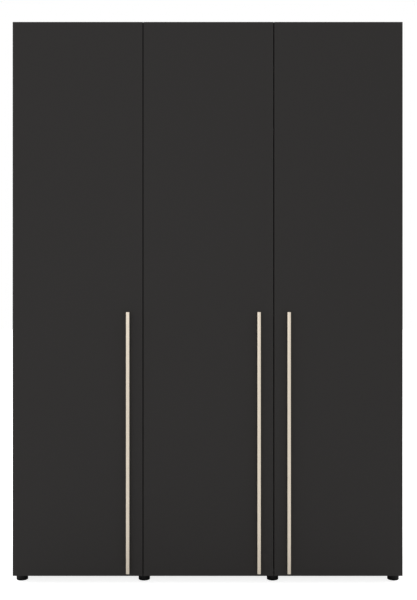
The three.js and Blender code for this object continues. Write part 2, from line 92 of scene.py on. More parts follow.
def hand(door):
    """1 for a door hinged on its left edge, -1 for one hinged on its right edge."""
    return 1 if JOINTS[f"{door}_door_hinge"]["axis"][2] < 0 else -1


def hinge_edge(door):
    """X of the door's hinged edge."""
    low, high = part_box(f"{door}_door_panel")
    return low.x if hand(door) > 0 else high.x


def closing_edge(door):
    """X of the door's other edge."""
    low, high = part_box(f"{door}_door_panel")
    return high.x if hand(door) > 0 else low.x


def hinge_nodes(door, part):
    """The CAD nodes of one part, such as the cup, of a door's four hinges."""
    return [f"{door}_door_hinge_{part}_{i}" for i in range(1, 5)]


def hinge_row(door):
    """The lowest hinge's height, and the distance from one hinge to the next."""
    heights = [middle(node).z for node in hinge_nodes(door, "cup")]
    return heights[0], heights[1] - heights[0]


# ---------------------------------------------------------------- sizes and colours to change


class BoardSettings(bpy.types.PropertyGroup):
    """Edge bands and drilling of the boards."""

    band: FloatProperty(name="Edge band", description="Thickness of the edge bands",
                        default=1.0 * MM, min=0.3 * MM, max=3 * MM, unit="LENGTH")
    rounding: FloatProperty(name="Band rounding", description="Radius on the long edges of a band",
                            default=0.8 * MM, min=0.0, max=2 * MM, unit="LENGTH")
    pin_hole: FloatProperty(name="Pin hole radius", description="Radius of the holes for shelf pins",
                            default=2.5 * MM, min=1 * MM, max=5 * MM, unit="LENGTH")
    pin_depth: FloatProperty(name="Pin hole depth", description="Depth of the holes for shelf pins",
                             default=7 * MM, min=2 * MM, max=12 * MM, unit="LENGTH")
    pitch: FloatProperty(name="Pin hole pitch", description="Height from one pin hole to the next",
                         default=32 * MM, min=16 * MM, max=64 * MM, unit="LENGTH")
    system_line: FloatProperty(name="System line", description="Carcass edge to a row of holes",
                               default=37 * MM, min=20 * MM, max=80 * MM, unit="LENGTH")


class HardwareSettings(bpy.types.PropertyGroup):
    """Small fittings."""

    screw_head: FloatProperty(name="Screw head radius", description="Radius of a screw's head",
                              default=3.6 * MM, min=2 * MM, max=6 * MM, unit="LENGTH")
    cam_cap: FloatProperty(name="Cam cap radius", description="Radius of the caps over the cam fittings",
                           default=8.5 * MM, min=6 * MM, max=12 * MM, unit="LENGTH")
    nail_spacing: FloatProperty(name="Nail spacing", description="Distance between nails in the back",
                                default=110 * MM, min=40 * MM, max=250 * MM, unit="LENGTH")
    handle_screws: IntProperty(name="Handle screws", description="Screws that hold each handle",
                               default=4, min=2, max=8)


class FinishSettings(bpy.types.PropertyGroup):
    """Colours of the finishes."""

    graphite: FloatVectorProperty(name="Graphite", description="Melamine of the doors and the outside",
                                  default=(0.0204, 0.0184, 0.0175), min=0, max=1, subtype="COLOR")
    linen: FloatVectorProperty(name="Linen", description="Melamine of the inside",
                               default=(0.68, 0.64, 0.575), min=0, max=1, subtype="COLOR")
    champagne: FloatVectorProperty(name="Champagne", description="Anodised aluminium of the handles",
                                   default=(0.94, 0.835, 0.695), min=0, max=1, subtype="COLOR")
    nickel: FloatVectorProperty(name="Nickel", description="Plating of the hinges and screws",
                                default=(0.62, 0.60, 0.56), min=0, max=1, subtype="COLOR")
    hardboard: FloatVectorProperty(name="Hardboard", description="Raw rear face of the back",
                                   default=(0.29, 0.18, 0.095), min=0, max=1, subtype="COLOR")


class StudioSettings(bpy.types.PropertyGroup):
    """Camera and light."""

    distance: FloatProperty(name="Camera distance", description="Door fronts to the camera",
                            default=3.5, min=1, max=20, unit="LENGTH")
    height: FloatProperty(name="Camera height", description="Floor to the camera",
                          default=1.0945, min=0.1, max=3, unit="LENGTH")
    side: FloatProperty(name="Camera side", description="Middle of the wardrobe to the camera",
                        default=3.3 * MM, min=-1, max=1, unit="LENGTH")
    lens: FloatProperty(name="Lens", description="Focal length on a 36 mm sensor",
                        default=54.61, min=20, max=200, unit="CAMERA")
    surround: FloatProperty(name="Surround", description="Brightness of the light from all round",
                            default=0.64, min=0, max=3, subtype="FACTOR")


SETTINGS = {
    "wardrobe_boards": BoardSettings,
    "wardrobe_hardware": HardwareSettings,
    "wardrobe_finishes": FinishSettings,
    "wardrobe_studio": StudioSettings,
}


def settings(name):
    """The scene's settings for boards, hardware, finishes or studio."""
    return getattr(bpy.context.scene, f"wardrobe_{name}")


# ---------------------------------------------------------------- building node trees


def put(tree, kind, inputs=(), **properties):
    """Adds a node. inputs maps its sockets, by name or number, to values or to sockets to link."""
    made = tree.nodes.new(kind)
    for key, value in properties.items():
        setattr(made, key, value)
    for key, value in dict(inputs).items():
        if isinstance(value, bpy.types.NodeSocket):
            tree.links.new(value, made.inputs[key])
        else:
            made.inputs[key].default_value = value
    return made


def new_tree(name, kind, inputs, outputs):
    """A node group with named sockets. Each input is (name, socket type, default)."""
    tree = bpy.data.node_groups.new(name, kind)
    for label, socket, default in inputs:
        made = tree.interface.new_socket(label, in_out="INPUT", socket_type=f"NodeSocket{socket}")
        if default is not None:
            made.default_value = default
    for label, socket in outputs:
        tree.interface.new_socket(label, in_out="OUTPUT", socket_type=f"NodeSocket{socket}")
    return tree, put(tree, "NodeGroupInput").outputs, put(tree, "NodeGroupOutput").inputs


# ---------------------------------------------------------------- shader groups

# A noise texture keeps mostly to the middle of 0 to 1, and so does a sum of three to the middle of 0 to 3.
NOISE_RANGE = (0.25, 0.75)
THREE_NOISES_RANGE = (1.15, 1.85)


def object_place(tree):
    """Where a point is on the piece."""
    return put(tree, "ShaderNodeTexCoord").outputs["Object"]


def maths(tree, operation, first, second, **properties):
    """Two numbers brought together by a Math node."""
    return put(tree, "ShaderNodeMath", {0: first, 1: second}, operation=operation, **properties).outputs[0]


def scaled(tree, colour, amount):
    """A colour made brighter or darker."""
    return put(tree, "ShaderNodeVectorMath", {0: colour, "Scale": amount}, operation="SCALE").outputs[0]


def noise(tree, place, scale, detail, **more):
    """A noise texture's value."""
    inputs = {"Vector": place, "Scale": scale, "Detail": detail, **more}
    return put(tree, "ShaderNodeTexNoise", inputs).outputs["Fac"]


def bumped(tree, height, depth, **below):
    """The normal of a relief, laid over the normal below it where one is given."""
    inputs = {"Strength": 1.0, "Distance": depth, "Height": height, **below}
    return put(tree, "ShaderNodeBump", inputs).outputs[0]


def surface_group():
    """Drifting tone and gloss, with a fine grain that can be stretched along an axis."""
    name = "Grained surface"
    if name in bpy.data.node_groups:
        return bpy.data.node_groups[name]
    tree, given, out = new_tree(
        name, "ShaderNodeTree",
        [("Colour", "Color", (0.5, 0.5, 0.5, 1)), ("Tone Drift", "Float", 0.04),
         ("Roughness", "Float", 0.5), ("Gloss Drift", "Float", 0.05), ("Patch Size", "Float", 0.4),
         ("Stretch", "Vector", (1, 1, 1)), ("Grain Size", "Float", 0.001),
         ("Grain Tone", "Float", 0.03), ("Grain Depth", "Float", 0.0001)],
        [("Colour", "Color"), ("Roughness", "Float"), ("Normal", "Vector")],
    )
    place = object_place(tree)
    drift = noise(tree, place, maths(tree, "DIVIDE", 1.0, given["Patch Size"]), 3.0)
    stretched = put(tree, "ShaderNodeVectorMath", {0: place, 1: given["Stretch"]}, operation="DIVIDE")
    grains = maths(tree, "DIVIDE", 1.0, given["Grain Size"])
    grain = noise(tree, stretched.outputs[0], grains, 4.0, Roughness=0.6)

    def centred(value, amount):
        """A noise's value, made to run from -amount to amount."""
        return put(tree, "ShaderNodeMapRange",
                   {"Value": value, "From Min": NOISE_RANGE[0], "From Max": NOISE_RANGE[1],
                    "To Min": maths(tree, "MULTIPLY", amount, -1.0), "To Max": amount}).outputs[0]

    tone = maths(tree, "ADD", centred(drift, given["Tone Drift"]), centred(grain, given["Grain Tone"]))
    tinted = scaled(tree, given["Colour"], maths(tree, "ADD", tone, 1.0))
    gloss = maths(tree, "ADD", given["Roughness"], centred(drift, given["Gloss Drift"]), use_clamp=True)
    tree.links.new(tinted, out["Colour"])
    tree.links.new(gloss, out["Roughness"])
    tree.links.new(bumped(tree, grain, given["Grain Depth"]), out["Normal"])
    return tree


def weave_group():
    """Threads along the three axes, so that every face of a board shows two crossing sets."""
    name = "Linen threads"
    if name in bpy.data.node_groups:
        return bpy.data.node_groups[name]
    tree, given, out = new_tree(
        name, "ShaderNodeTree",
        [("Thread", "Float", 0.0012), ("Length", "Float", 0.03)],
        [("Threads", "Float")],
    )
    place = object_place(tree)
    count = maths(tree, "DIVIDE", 1.0, given["Thread"])
    slim = maths(tree, "DIVIDE", given["Thread"], given["Length"])
    total = 0.0
    for axis in "XYZ":
        shape = put(tree, "ShaderNodeCombineXYZ", {a: slim if a == axis else 1.0 for a in "XYZ"})
        drawn = put(tree, "ShaderNodeVectorMath", {0: place, 1: shape.outputs[0]}, operation="MULTIPLY")
        total = maths(tree, "ADD", noise(tree, drawn.outputs[0], count, 1.5), total)
    even = put(tree, "ShaderNodeMapRange",
               {"Value": total, "From Min": THREE_NOISES_RANGE[0], "From Max": THREE_NOISES_RANGE[1]})
    tree.links.new(even.outputs[0], out["Threads"])
    return tree


def chips_group():
    """The pressed wood chips of a raw board edge."""
    name = "Pressed chips"
    if name in bpy.data.node_groups:
        return bpy.data.node_groups[name]
    tree, given, out = new_tree(
        name, "ShaderNodeTree",
        [("Chip", "Float", 0.002), ("Pale", "Color", (0.62, 0.47, 0.30, 1)),
         ("Dark", "Color", (0.3, 0.2, 0.11, 1))],
        [("Colour", "Color"), ("Height", "Float")],
    )
    count = maths(tree, "DIVIDE", 1.0, given["Chip"])
    cells = put(tree, "ShaderNodeTexVoronoi",
                {"Vector": object_place(tree), "Scale": count, "Randomness": 1.0})
    shade = put(tree, "ShaderNodeSeparateColor", {0: cells.outputs["Color"]}).outputs[0]
    mixed = put(tree, "ShaderNodeMix", {0: shade, 6: given["Dark"], 7: given["Pale"]}, data_type="RGBA")
    tree.links.new(mixed.outputs[2], out["Colour"])
    tree.links.new(cells.outputs["Distance"], out["Height"])
    return tree


# ---------------------------------------------------------------- finishes


def principled(name, **sockets):
    """A new material with its Principled BSDF's sockets set."""
    made = bpy.data.materials.new(name)
    made.use_nodes = True
    shader = made.node_tree.nodes["Principled BSDF"]
    for label, value in sockets.items():
        shader.inputs[label.replace("_", " ")].default_value = value
    return made, made.node_tree, shader


def grained(name, colour, roughness, sockets=(), **group_inputs):
    """A material whose colour, gloss and grain come from the grained surface group."""
    made, tree, shader = principled(name, **dict(sockets))
    group = put(tree, "ShaderNodeGroup", node_tree=surface_group())
    group.inputs["Colour"].default_value = (*colour, 1)
    group.inputs["Roughness"].default_value = roughness
    for label, value in group_inputs.items():
        group.inputs[label.replace("_", " ")].default_value = value
    tree.links.new(group.outputs["Colour"], shader.inputs["Base Color"])
    tree.links.new(group.outputs["Roughness"], shader.inputs["Roughness"])
    tree.links.new(group.outputs["Normal"], shader.inputs["Normal"])
    return made, tree, shader, group


def toned(colour, amount):
    """A colour times an amount."""
    return [amount * channel for channel in colour]


def graphite_melamine(name):
    """Matt dark melamine, pressed with a fine pearl."""
    return grained(name, settings("finishes").graphite, 0.52, {"Specular_IOR_Level": 0.3},
                   Tone_Drift=0.03, Gloss_Drift=0.04, Patch_Size=0.5, Grain_Size=1.1 * MM,
                   Grain_Tone=0.14, Grain_Depth=0.16 * MM)[0]


def graphite_band(name):
    """The smoother plastic edge band of the dark melamine, darkened to 0.6 of its colour as painted shade of
    the reveals and door gaps.
    """
    # 0.6 of the melamine's colour is painted shade: the bands at the carcass reveals and in the gaps between
    # doors are darkened as if they lay in shade.
    return grained(name, toned(settings("finishes").graphite, 0.6), 0.45,
                   {"Specular_IOR_Level": 0.25}, Tone_Drift=0.02, Gloss_Drift=0.05, Patch_Size=0.2,
                   Grain_Size=0.5 * MM, Grain_Tone=0.03, Grain_Depth=0.01 * MM)[0]


def add_weave(tree, shader, group, tone, depth):
    """Lays linen threads over a grained material, and gives the woven colour."""
    threads = put(tree, "ShaderNodeGroup", node_tree=weave_group()).outputs["Threads"]
    shade = put(tree, "ShaderNodeMapRange", {"Value": threads, "To Min": 1 - tone, "To Max": 1.0})
    woven = scaled(tree, group.outputs["Colour"], shade.outputs[0])
    tree.links.new(woven, shader.inputs["Base Color"])
    relief = bumped(tree, threads, depth, Normal=group.outputs["Normal"])
    tree.links.new(relief, shader.inputs["Normal"])
    return woven


def linen_melamine(name):
    """Pale melamine with a printed and pressed linen."""
    made, tree, shader, group = grained(
        name, settings("finishes").linen, 0.58, {"Specular_IOR_Level": 0.35}, Tone_Drift=0.03,
        Gloss_Drift=0.04, Patch_Size=0.6, Grain_Size=0.5 * MM, Grain_Tone=0.03, Grain_Depth=0.01 * MM)
    add_weave(tree, shader, group, 0.16, 0.06 * MM)
    return made


def linen_band(name):
    """The plain pale edge band of the inside."""
    return grained(name, toned(settings("finishes").linen, 0.96), 0.45,
                   {"Specular_IOR_Level": 0.4}, Tone_Drift=0.02, Patch_Size=0.2, Grain_Size=0.5 * MM,
                   Grain_Tone=0.02, Grain_Depth=0.01 * MM)[0]


def chipboard(name):
    """Raw chipboard, where a board has no edge band and in its bores."""
    made, tree, shader = principled(name, Roughness=0.85, Specular_IOR_Level=0.2)
    chips = put(tree, "ShaderNodeGroup", node_tree=chips_group())
    tree.links.new(chips.outputs["Colour"], shader.inputs["Base Color"])
    tree.links.new(bumped(tree, chips.outputs["Height"], 0.3 * MM), shader.inputs["Normal"])
    return made


def printed_hardboard(name):
    """Hardboard: raw and fibrous behind, printed with the inside's linen in front."""
    made, tree, shader, group = grained(
        name, settings("finishes").linen, 0.6, {"Specular_IOR_Level": 0.25}, Tone_Drift=0.03,
        Patch_Size=0.6, Grain_Size=0.5 * MM, Grain_Tone=0.03, Grain_Depth=0.01 * MM)
    printed = add_weave(tree, shader, group, 0.14, 0.03 * MM)
    raw = put(tree, "ShaderNodeGroup", node_tree=surface_group())
    for label, value in (("Colour", (*settings("finishes").hardboard, 1)), ("Roughness", 0.8),
                         ("Tone Drift", 0.05), ("Patch Size", 0.25), ("Stretch", (1.0, 1.0, 3.0)),
                         ("Grain Size", 1.2 * MM), ("Grain Tone", 0.22), ("Grain Depth", 0.12 * MM)):
        raw.inputs[label].default_value = value
    depth = put(tree, "ShaderNodeSeparateXYZ", {0: object_place(tree)}).outputs["Y"]
    behind = maths(tree, "GREATER_THAN", depth, middle("left_back_panel").y)
    for socket, front, back in (("Base Color", printed, raw.outputs["Colour"]),
                                ("Roughness", group.outputs["Roughness"], raw.outputs["Roughness"])):
        colour = socket == "Base Color"
        sockets = {0: behind, 6: front, 7: back} if colour else {0: behind, 2: front, 3: back}
        mixed = put(tree, "ShaderNodeMix", sockets, data_type="RGBA" if colour else "FLOAT")
        tree.links.new(mixed.outputs[2 if colour else 0], shader.inputs[socket])
    return made


def champagne_aluminium(name):
    """Anodised extrusion: fine lines along its length, soft gloss."""
    return grained(name, settings("finishes").champagne, 0.36, {"Metallic": 1.0, "Anisotropic": 0.3},
                   Tone_Drift=0.02, Gloss_Drift=0.03, Patch_Size=0.3, Stretch=(1, 1, 90),
                   Grain_Size=0.35 * MM, Grain_Tone=0.04, Grain_Depth=0.008 * MM)[0]


def nickel_plate(name):
    """Bright nickel plating over a stamped steel part."""
    return grained(name, settings("finishes").nickel, 0.24, {"Metallic": 1.0}, Tone_Drift=0.04,
                   Gloss_Drift=0.08, Patch_Size=0.02, Stretch=(1, 6, 1), Grain_Size=0.4 * MM,
                   Grain_Tone=0.03, Grain_Depth=0.006 * MM)[0]


def zinc_plate(name):
    """Duller zinc on the screws and nails."""
    return grained(name, toned(settings("finishes").nickel, 0.8), 0.36, {"Metallic": 1.0},
                   Tone_Drift=0.08, Gloss_Drift=0.1, Patch_Size=0.006, Grain_Size=0.3 * MM,
                   Grain_Tone=0.06, Grain_Depth=0.01 * MM)[0]


def chrome_plate(name):
    """Chrome tube with the faint smears of handling."""
    return grained(name, (0.72, 0.73, 0.75), 0.12, {"Metallic": 1.0}, Tone_Drift=0.02, Gloss_Drift=0.07,
                   Patch_Size=0.05, Stretch=(5, 1, 1), Grain_Size=0.6 * MM, Grain_Tone=0.01,
                   Grain_Depth=0.002 * MM)[0]


def black_plastic(name):
    """Moulded black plastic with a spark-eroded grain."""
    return grained(name, (0.0045, 0.0045, 0.0048), 0.45, {"Specular_IOR_Level": 0.25}, Tone_Drift=0.05,
                   Gloss_Drift=0.06, Patch_Size=0.03, Grain_Size=0.6 * MM, Grain_Tone=0.1,
                   Grain_Depth=0.04 * MM)[0]


def grey_plastic(name):
    """Pale extruded plastic with die lines along its length."""
    return grained(name, (0.50, 0.48, 0.44), 0.45, {"Specular_IOR_Level": 0.45}, Tone_Drift=0.03,
                   Gloss_Drift=0.05, Patch_Size=0.1, Stretch=(1, 1, 60), Grain_Size=0.5 * MM,
                   Grain_Tone=0.03, Grain_Depth=0.01 * MM)[0]


def soft_rubber(name):
    """The soft grey of the pads that the doors close on."""
    return grained(name, (0.42, 0.42, 0.41), 0.55, {"Specular_IOR_Level": 0.4}, Tone_Drift=0.05,
                   Patch_Size=0.004, Grain_Size=0.3 * MM, Grain_Tone=0.05, Grain_Depth=0.02 * MM)[0]


def pale_floor(name):
    """A seamless pale studio floor, lifted towards white where it is looked at."""
    made, tree, shader, _ = grained(
        name, (0.9, 0.9, 0.9), 0.8, {"Specular_IOR_Level": 0.1, "Emission_Color": (1, 1, 1, 1)},
        Tone_Drift=0.004, Patch_Size=2.0, Grain_Size=4 * MM, Grain_Tone=0.004, Grain_Depth=0.0)
    lift = 0.84
    seen = put(tree, "ShaderNodeLightPath").outputs["Is Camera Ray"]
    tree.links.new(maths(tree, "MULTIPLY", seen, lift), shader.inputs["Emission Strength"])
    return made


FINISHES = {
    "graphite": graphite_melamine,
    "graphite_band": graphite_band,
    "linen": linen_melamine,
    "linen_band": linen_band,
    "chipboard": chipboard,
    "hardboard": printed_hardboard,
    "champagne": champagne_aluminium,
    "nickel": nickel_plate,
    "zinc": zinc_plate,
    "chrome": chrome_plate,
    "black_plastic": black_plastic,
    "grey_plastic": grey_plastic,
    "rubber": soft_rubber,
    "floor": pale_floor,
}


def material(name):
    """The material of that name, made the first time that it is asked for."""
    label = f"wardrobe_{name}"
    return bpy.data.materials.get(label) or FINISHES[name](label)


# ---------------------------------------------------------------- shapes


def mm(*points):
    """Points given in millimetres, as the metres that meshes are in."""
    return [tuple(value * MM for value in point) for point in points]


def box(bm, low, high, finish=0):
    """A closed box from low to high, and its vertices."""
    verts = bmesh.ops.create_cube(bm, size=1)["verts"]
    for vert in verts:
        vert.co = [high[i] if vert.co[i] > 0 else low[i] for i in range(3)]
    for face in {face for vert in verts for face in vert.link_faces}:
        face.material_index = finish
    return verts


def prism(bm, outline, low, high, finish=0):
    """A plan outline raised between two heights, and its vertices."""
    rings = [[bm.verts.new((x, y, z)) for x, y in outline] for z in (low, high)]
    faces = [bm.faces.new(reversed(rings[0])), bm.faces.new(rings[1])]
    for i, vert in enumerate(rings[0]):
        faces.append(bm.faces.new((rings[0][i - 1], vert, rings[1][i], rings[1][i - 1])))
    for face in faces:
        face.material_index = finish
    return rings[0] + rings[1]


def turned(bm, profile, segments=32, finish=0, centre=(0, 0, 0), axis="Z"):
    """A profile of (radius, height) points, which starts and ends at radius 0, turned about an axis."""
    turn = {"Z": Matrix.Identity(3), "Y": Matrix.Rotation(-math.pi / 2, 3, "X"),
            "X": Matrix.Rotation(math.pi / 2, 3, "Y")}[axis]
    rings = []
    for radius, height in profile:
        steps = segments if radius > TINY else 1
        angles = [2 * math.pi * i / steps for i in range(steps)]
        points = [Vector((radius * math.cos(a), radius * math.sin(a), height)) for a in angles]
        rings.append([bm.verts.new(turn @ point + Vector(centre)) for point in points])
    for near, far in zip(rings, rings[1:]):
        for i in range(segments):
            j = (i + 1) % segments
            corners = [near[i % len(near)], near[j % len(near)], far[j % len(far)], far[i % len(far)]]
            face = bm.faces.new(list(dict.fromkeys(corners)))
            face.material_index = finish
    return [vert for ring in rings for vert in ring]


def rod(bm, radius, low, high, segments, centre=(0, 0, 0), axis="Z"):
    """A plain cylinder between two heights along an axis, such as a pin or a drill."""
    profile = [(0, low), (radius, low), (radius, high), (0, high)]
    return turned(bm, profile, segments, centre=centre, axis=axis)


def filleted(corners, steps=5):
    """An outline with round corners. Each corner is (x, y, radius)."""
    points = []
    for i, (x, y, radius) in enumerate(corners):
        here = Vector((x, y))
        if radius <= 0:
            points.append(here)
            continue
        before = (Vector(corners[i - 1][:2]) - here).normalized()
        after = (Vector(corners[(i + 1) % len(corners)][:2]) - here).normalized()
        half = before.angle(after) / 2
        centre = here + (before + after).normalized() * (radius / math.sin(half))
        start = here + before * (radius / math.tan(half)) - centre
        end = here + after * (radius / math.tan(half)) - centre
        sweep = start.angle_signed(end)
        for step in range(steps + 1):
            points.append(centre + Matrix.Rotation(-sweep * step / steps, 2) @ start)
    return points


def rounded_box(width, height, radius, steps=5):
    """A rectangle with round corners, centred."""
    w, h = width / 2, height / 2
    return filleted([(w, -h, radius), (w, h, radius), (-w, h, radius), (-w, -h, radius)], steps)


def turn_plan(verts, axis):
    """Turns what was drawn in plan so that its height runs along an axis: X or Y."""
    for vert in verts:
        x, y, z = vert.co
        vert.co = (z, x, y) if axis == "X" else (x, z, y)
    return verts


def shift(verts, offset):
    """Moves vertices by an offset."""
    for vert in verts:
        vert.co += Vector(offset)
    return verts


def soften(bm, radius, verts=None, angle=40, segments=2):
    """Rounds the edges that are sharper than an angle, in degrees."""
    picked = set(verts) if verts is not None else set(bm.verts)
    edges = [edge for edge in bm.edges
             if edge.verts[0] in picked and edge.verts[1] in picked
             and edge.is_manifold and edge.calc_face_angle() > math.radians(angle)]
    bmesh.ops.bevel(bm, geom=edges, offset=radius, segments=segments, profile=0.5, affect="EDGES",
                    clamp_overlap=True, material=-1)


def mesh_object(name, bm, finishes):
    """The bmesh as an object, with outward faces and smooth shading up to sharp edges."""
    bm.normal_update()
    bmesh.ops.recalc_face_normals(bm, faces=bm.faces)
    mesh = bpy.data.meshes.new(name)
    bm.to_mesh(mesh)
    bm.free()
    for finish in finishes:
        mesh.materials.append(material(finish))
    shade(mesh)
    made = bpy.data.objects.new(name, mesh)
    bpy.context.scene.collection.objects.link(made)
    return made


def shade(mesh, angle=32):
    """Smooth shading, with edges sharper than an angle in degrees kept sharp."""
    mesh.shade_smooth()
    mesh.set_sharp_from_angle(angle=math.radians(angle))


def settle(obj):
    """Turns an object's modifiers into a plain mesh."""
    graph = bpy.context.evaluated_depsgraph_get()
    mesh = bpy.data.meshes.new_from_object(obj.evaluated_get(graph), depsgraph=graph)
    obj.modifiers.clear()
    old = obj.data
    obj.data = mesh
    mesh.name = obj.name
    bpy.data.meshes.remove(old)
    return obj


def carve(obj, *cutters):
    """Cuts each cutter out of the object. The cut faces take the cutter's finish."""
    for cutter in cutters:
        cut = obj.modifiers.new("cut", "BOOLEAN")
        cut.object = cutter
        cut.operation = "DIFFERENCE"
        cut.solver = "EXACT"
        cut.material_mode = "TRANSFER"
    settle(obj)
    for cutter in cutters:
        discard(cutter)
    shade(obj.data)
    return obj


def discard(obj):
    """Removes an object that was only a step on the way."""
    mesh = obj.data
    bpy.data.objects.remove(obj)
    bpy.data.meshes.remove(mesh)


def hand_over(obj, body, slot, *replaced):
    """The finished piece rides on its body and stands for its CAD nodes."""
    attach(obj, body)
    if replaced:
        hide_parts(*replaced)
    return obj


# ---------------------------------------------------------------- Geometry Nodes for what repeats


def instances(tree, piece, points):
    """An instance of a piece at each point."""
    return put(tree, "GeometryNodeInstanceOnPoints", {"Points": points, "Instance": piece}).outputs[0]


def the_piece(tree, given):
    """The object that a tree repeats, as an instance."""
    found = put(tree, "GeometryNodeObjectInfo", {"Object": given["Piece"], "As Instance": True})
    return found.outputs["Geometry"]


def rows_tree():
    """Copies a piece along a row, and that row along another."""
    name = "Rows of pieces"
    if name in bpy.data.node_groups:
        return bpy.data.node_groups[name]
    tree, given, out = new_tree(
        name, "GeometryNodeTree",
        [("Piece", "Object", None), ("First", "Vector", (0, 0, 0)), ("Step", "Vector", (0, 0, 0.1)),
         ("Count", "Int", 1), ("Row Step", "Vector", (0.1, 0, 0)), ("Rows", "Int", 1),
         ("Finish", "Material", None)],
        [("Geometry", "Geometry")],
    )
    row = put(tree, "GeometryNodeMeshLine", {"Count": given["Count"], "Offset": given["Step"]})
    rows = put(tree, "GeometryNodeMeshLine",
               {"Count": given["Rows"], "Start Location": given["First"], "Offset": given["Row Step"]})
    along = instances(tree, the_piece(tree, given), row.outputs[0])
    return ended(tree, given, out, instances(tree, along, rows.outputs[0]))


def places_tree():
    """Copies a piece to each vertex of the object's own mesh."""
    name = "Pieces at places"
    if name in bpy.data.node_groups:
        return bpy.data.node_groups[name]
    tree, given, out = new_tree(
        name, "GeometryNodeTree",
        [("Places", "Geometry", None), ("Piece", "Object", None), ("Finish", "Material", None)],
        [("Geometry", "Geometry")],
    )
    return ended(tree, given, out, instances(tree, the_piece(tree, given), given["Places"]))


def border_tree():
    """Copies a piece round an upright rectangle, at an even spacing."""
    name = "Pieces round a border"
    if name in bpy.data.node_groups:
        return bpy.data.node_groups[name]
    tree, given, out = new_tree(
        name, "GeometryNodeTree",
        [("Piece", "Object", None), ("Middle", "Vector", (0, 0, 0)), ("Width", "Float", 1.0),
         ("Height", "Float", 1.0), ("Spacing", "Float", 0.1), ("Finish", "Material", None)],
        [("Geometry", "Geometry")],
    )
    border = put(tree, "GeometryNodeCurvePrimitiveQuadrilateral",
                 {"Width": given["Width"], "Height": given["Height"]})
    upright = put(tree, "GeometryNodeTransform",
                  {"Geometry": border.outputs[0], "Translation": given["Middle"],
                   "Rotation": (math.pi / 2, 0, 0)})
    spaced = put(tree, "GeometryNodeResampleCurve", {"Curve": upright.outputs[0], "Length": given["Spacing"]},
                 mode="LENGTH")
    return ended(tree, given, out, instances(tree, the_piece(tree, given), spaced.outputs[0]))


def ended(tree, given, out, copies):
    """Ends a tree in real geometry with its finish."""
    real = put(tree, "GeometryNodeRealizeInstances", {0: copies}).outputs[0]
    finished = put(tree, "GeometryNodeSetMaterial", {"Geometry": real, "Material": given["Finish"]})
    tree.links.new(finished.outputs[0], out["Geometry"])
    return tree


def repeated(name, tree, base=None, **inputs):
    """An object made by one of the trees, as a plain mesh. The piece that it repeats is used up."""
    made = base or bpy.data.objects.new(name, bpy.data.meshes.new(name))
    bpy.context.scene.collection.objects.link(made)
    modifier = made.modifiers.new(tree.name, "NODES")
    modifier.node_group = tree
    items = tree.interface.items_tree
    sockets = {item.name: item.identifier for item in items if item.in_out == "INPUT"}
    for label, value in inputs.items():
        modifier[sockets[label.replace("_", " ")]] = value
    settle(made)
    discard(inputs["Piece"])
    shade(made.data)
    return made


def in_rows(name, piece, finish, first, step, count, row_step=(0, 0, 0), rows=1):
    """Copies of a piece in one row, or in several rows side by side."""
    return repeated(name, rows_tree(), Piece=piece, Finish=material(finish), First=tuple(first),
                    Step=tuple(step), Count=count, Row_Step=tuple(row_step), Rows=rows)


def at_places(name, piece, finish, places):
    """A copy of a piece at each place."""
    mesh = bpy.data.meshes.new(name)
    mesh.from_pydata([tuple(place) for place in places], [], [])
    return repeated(name, places_tree(), base=bpy.data.objects.new(name, mesh), Piece=piece,
                    Finish=material(finish))


# ---------------------------------------------------------------- boards

AXES = {"x": 0, "y": 1, "z": 2}


def banded_board(name, node, faces, bands, thin, band_finish, cutter=None):
    """
    A board in the place of a CAD node. faces gives the finish of its sides, such as "+x"; the sides
    left out are raw. bands lists the sides with an edge band, thin is the board's thin axis, and
    the cutter is drilled out of the board before its edges are banded.
    """
    boards = settings("boards")
    low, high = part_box(node)
    core = [low.copy(), high.copy()]
    finishes = ["chipboard", band_finish, *sorted(set(faces.values()))]
    strips = bmesh.new()
    for side in bands:
        sign, axis = side[0] == "+", AXES[side[1]]
        strip = [core[0].copy(), core[1].copy()]
        core[sign][axis] += -boards.band if sign else boards.band
        strip[not sign][axis] = core[sign][axis]
        verts = box(strips, *strip, finish=1)
        round_outer_edges(strips, verts, axis, strip[sign][axis], AXES[thin], boards.rounding)
    bm = bmesh.new()
    for face in {face for vert in box(bm, *core) for face in vert.link_faces}:
        side = side_of(face.normal)
        if side in faces:
            face.material_index = finishes.index(faces[side])
    board = mesh_object(name, bm, finishes)
    if cutter:
        carve(board, cutter)
    return joined(board, mesh_object("bands", strips, finishes))


def joined(obj, *others):
    """Adds other objects' meshes to an object that has the same finishes."""
    bm = bmesh.new()
    bm.from_mesh(obj.data)
    for other in others:
        bm.from_mesh(other.data)
        discard(other)
    bm.to_mesh(obj.data)
    bm.free()
    shade(obj.data)
    return obj


def side_of(normal):
    """The name of the side that a normal points to, such as "-y"."""
    axis = max(AXES, key=lambda a: abs(normal[AXES[a]]))
    return ("+" if normal[AXES[axis]] > 0 else "-") + axis


def round_outer_edges(bm, verts, axis, level, thin, radius):
    """Rounds the two long edges of an edge band's outer face."""
    long_axis = 3 - axis - thin
    outer = {vert for vert in verts if abs(vert.co[axis] - level) < TINY}
    edges = []
    for edge in bm.edges:
        start, end = edge.verts
        if start in outer and end in outer and abs(start.co[long_axis] - end.co[long_axis]) > TINY:
            edges.append(edge)
    bmesh.ops.bevel(bm, geom=edges, offset=radius, segments=4, profile=0.5, affect="EDGES", material=-1)


def drill(radius, depth, axis, segments=12):
    """A cutter for a blind hole: a cylinder about an axis, centred on the board's face."""
    bm = bmesh.new()
    rod(bm, radius, -depth, depth, segments, axis=axis)
    return mesh_object("drill", bm, ["chipboard"])


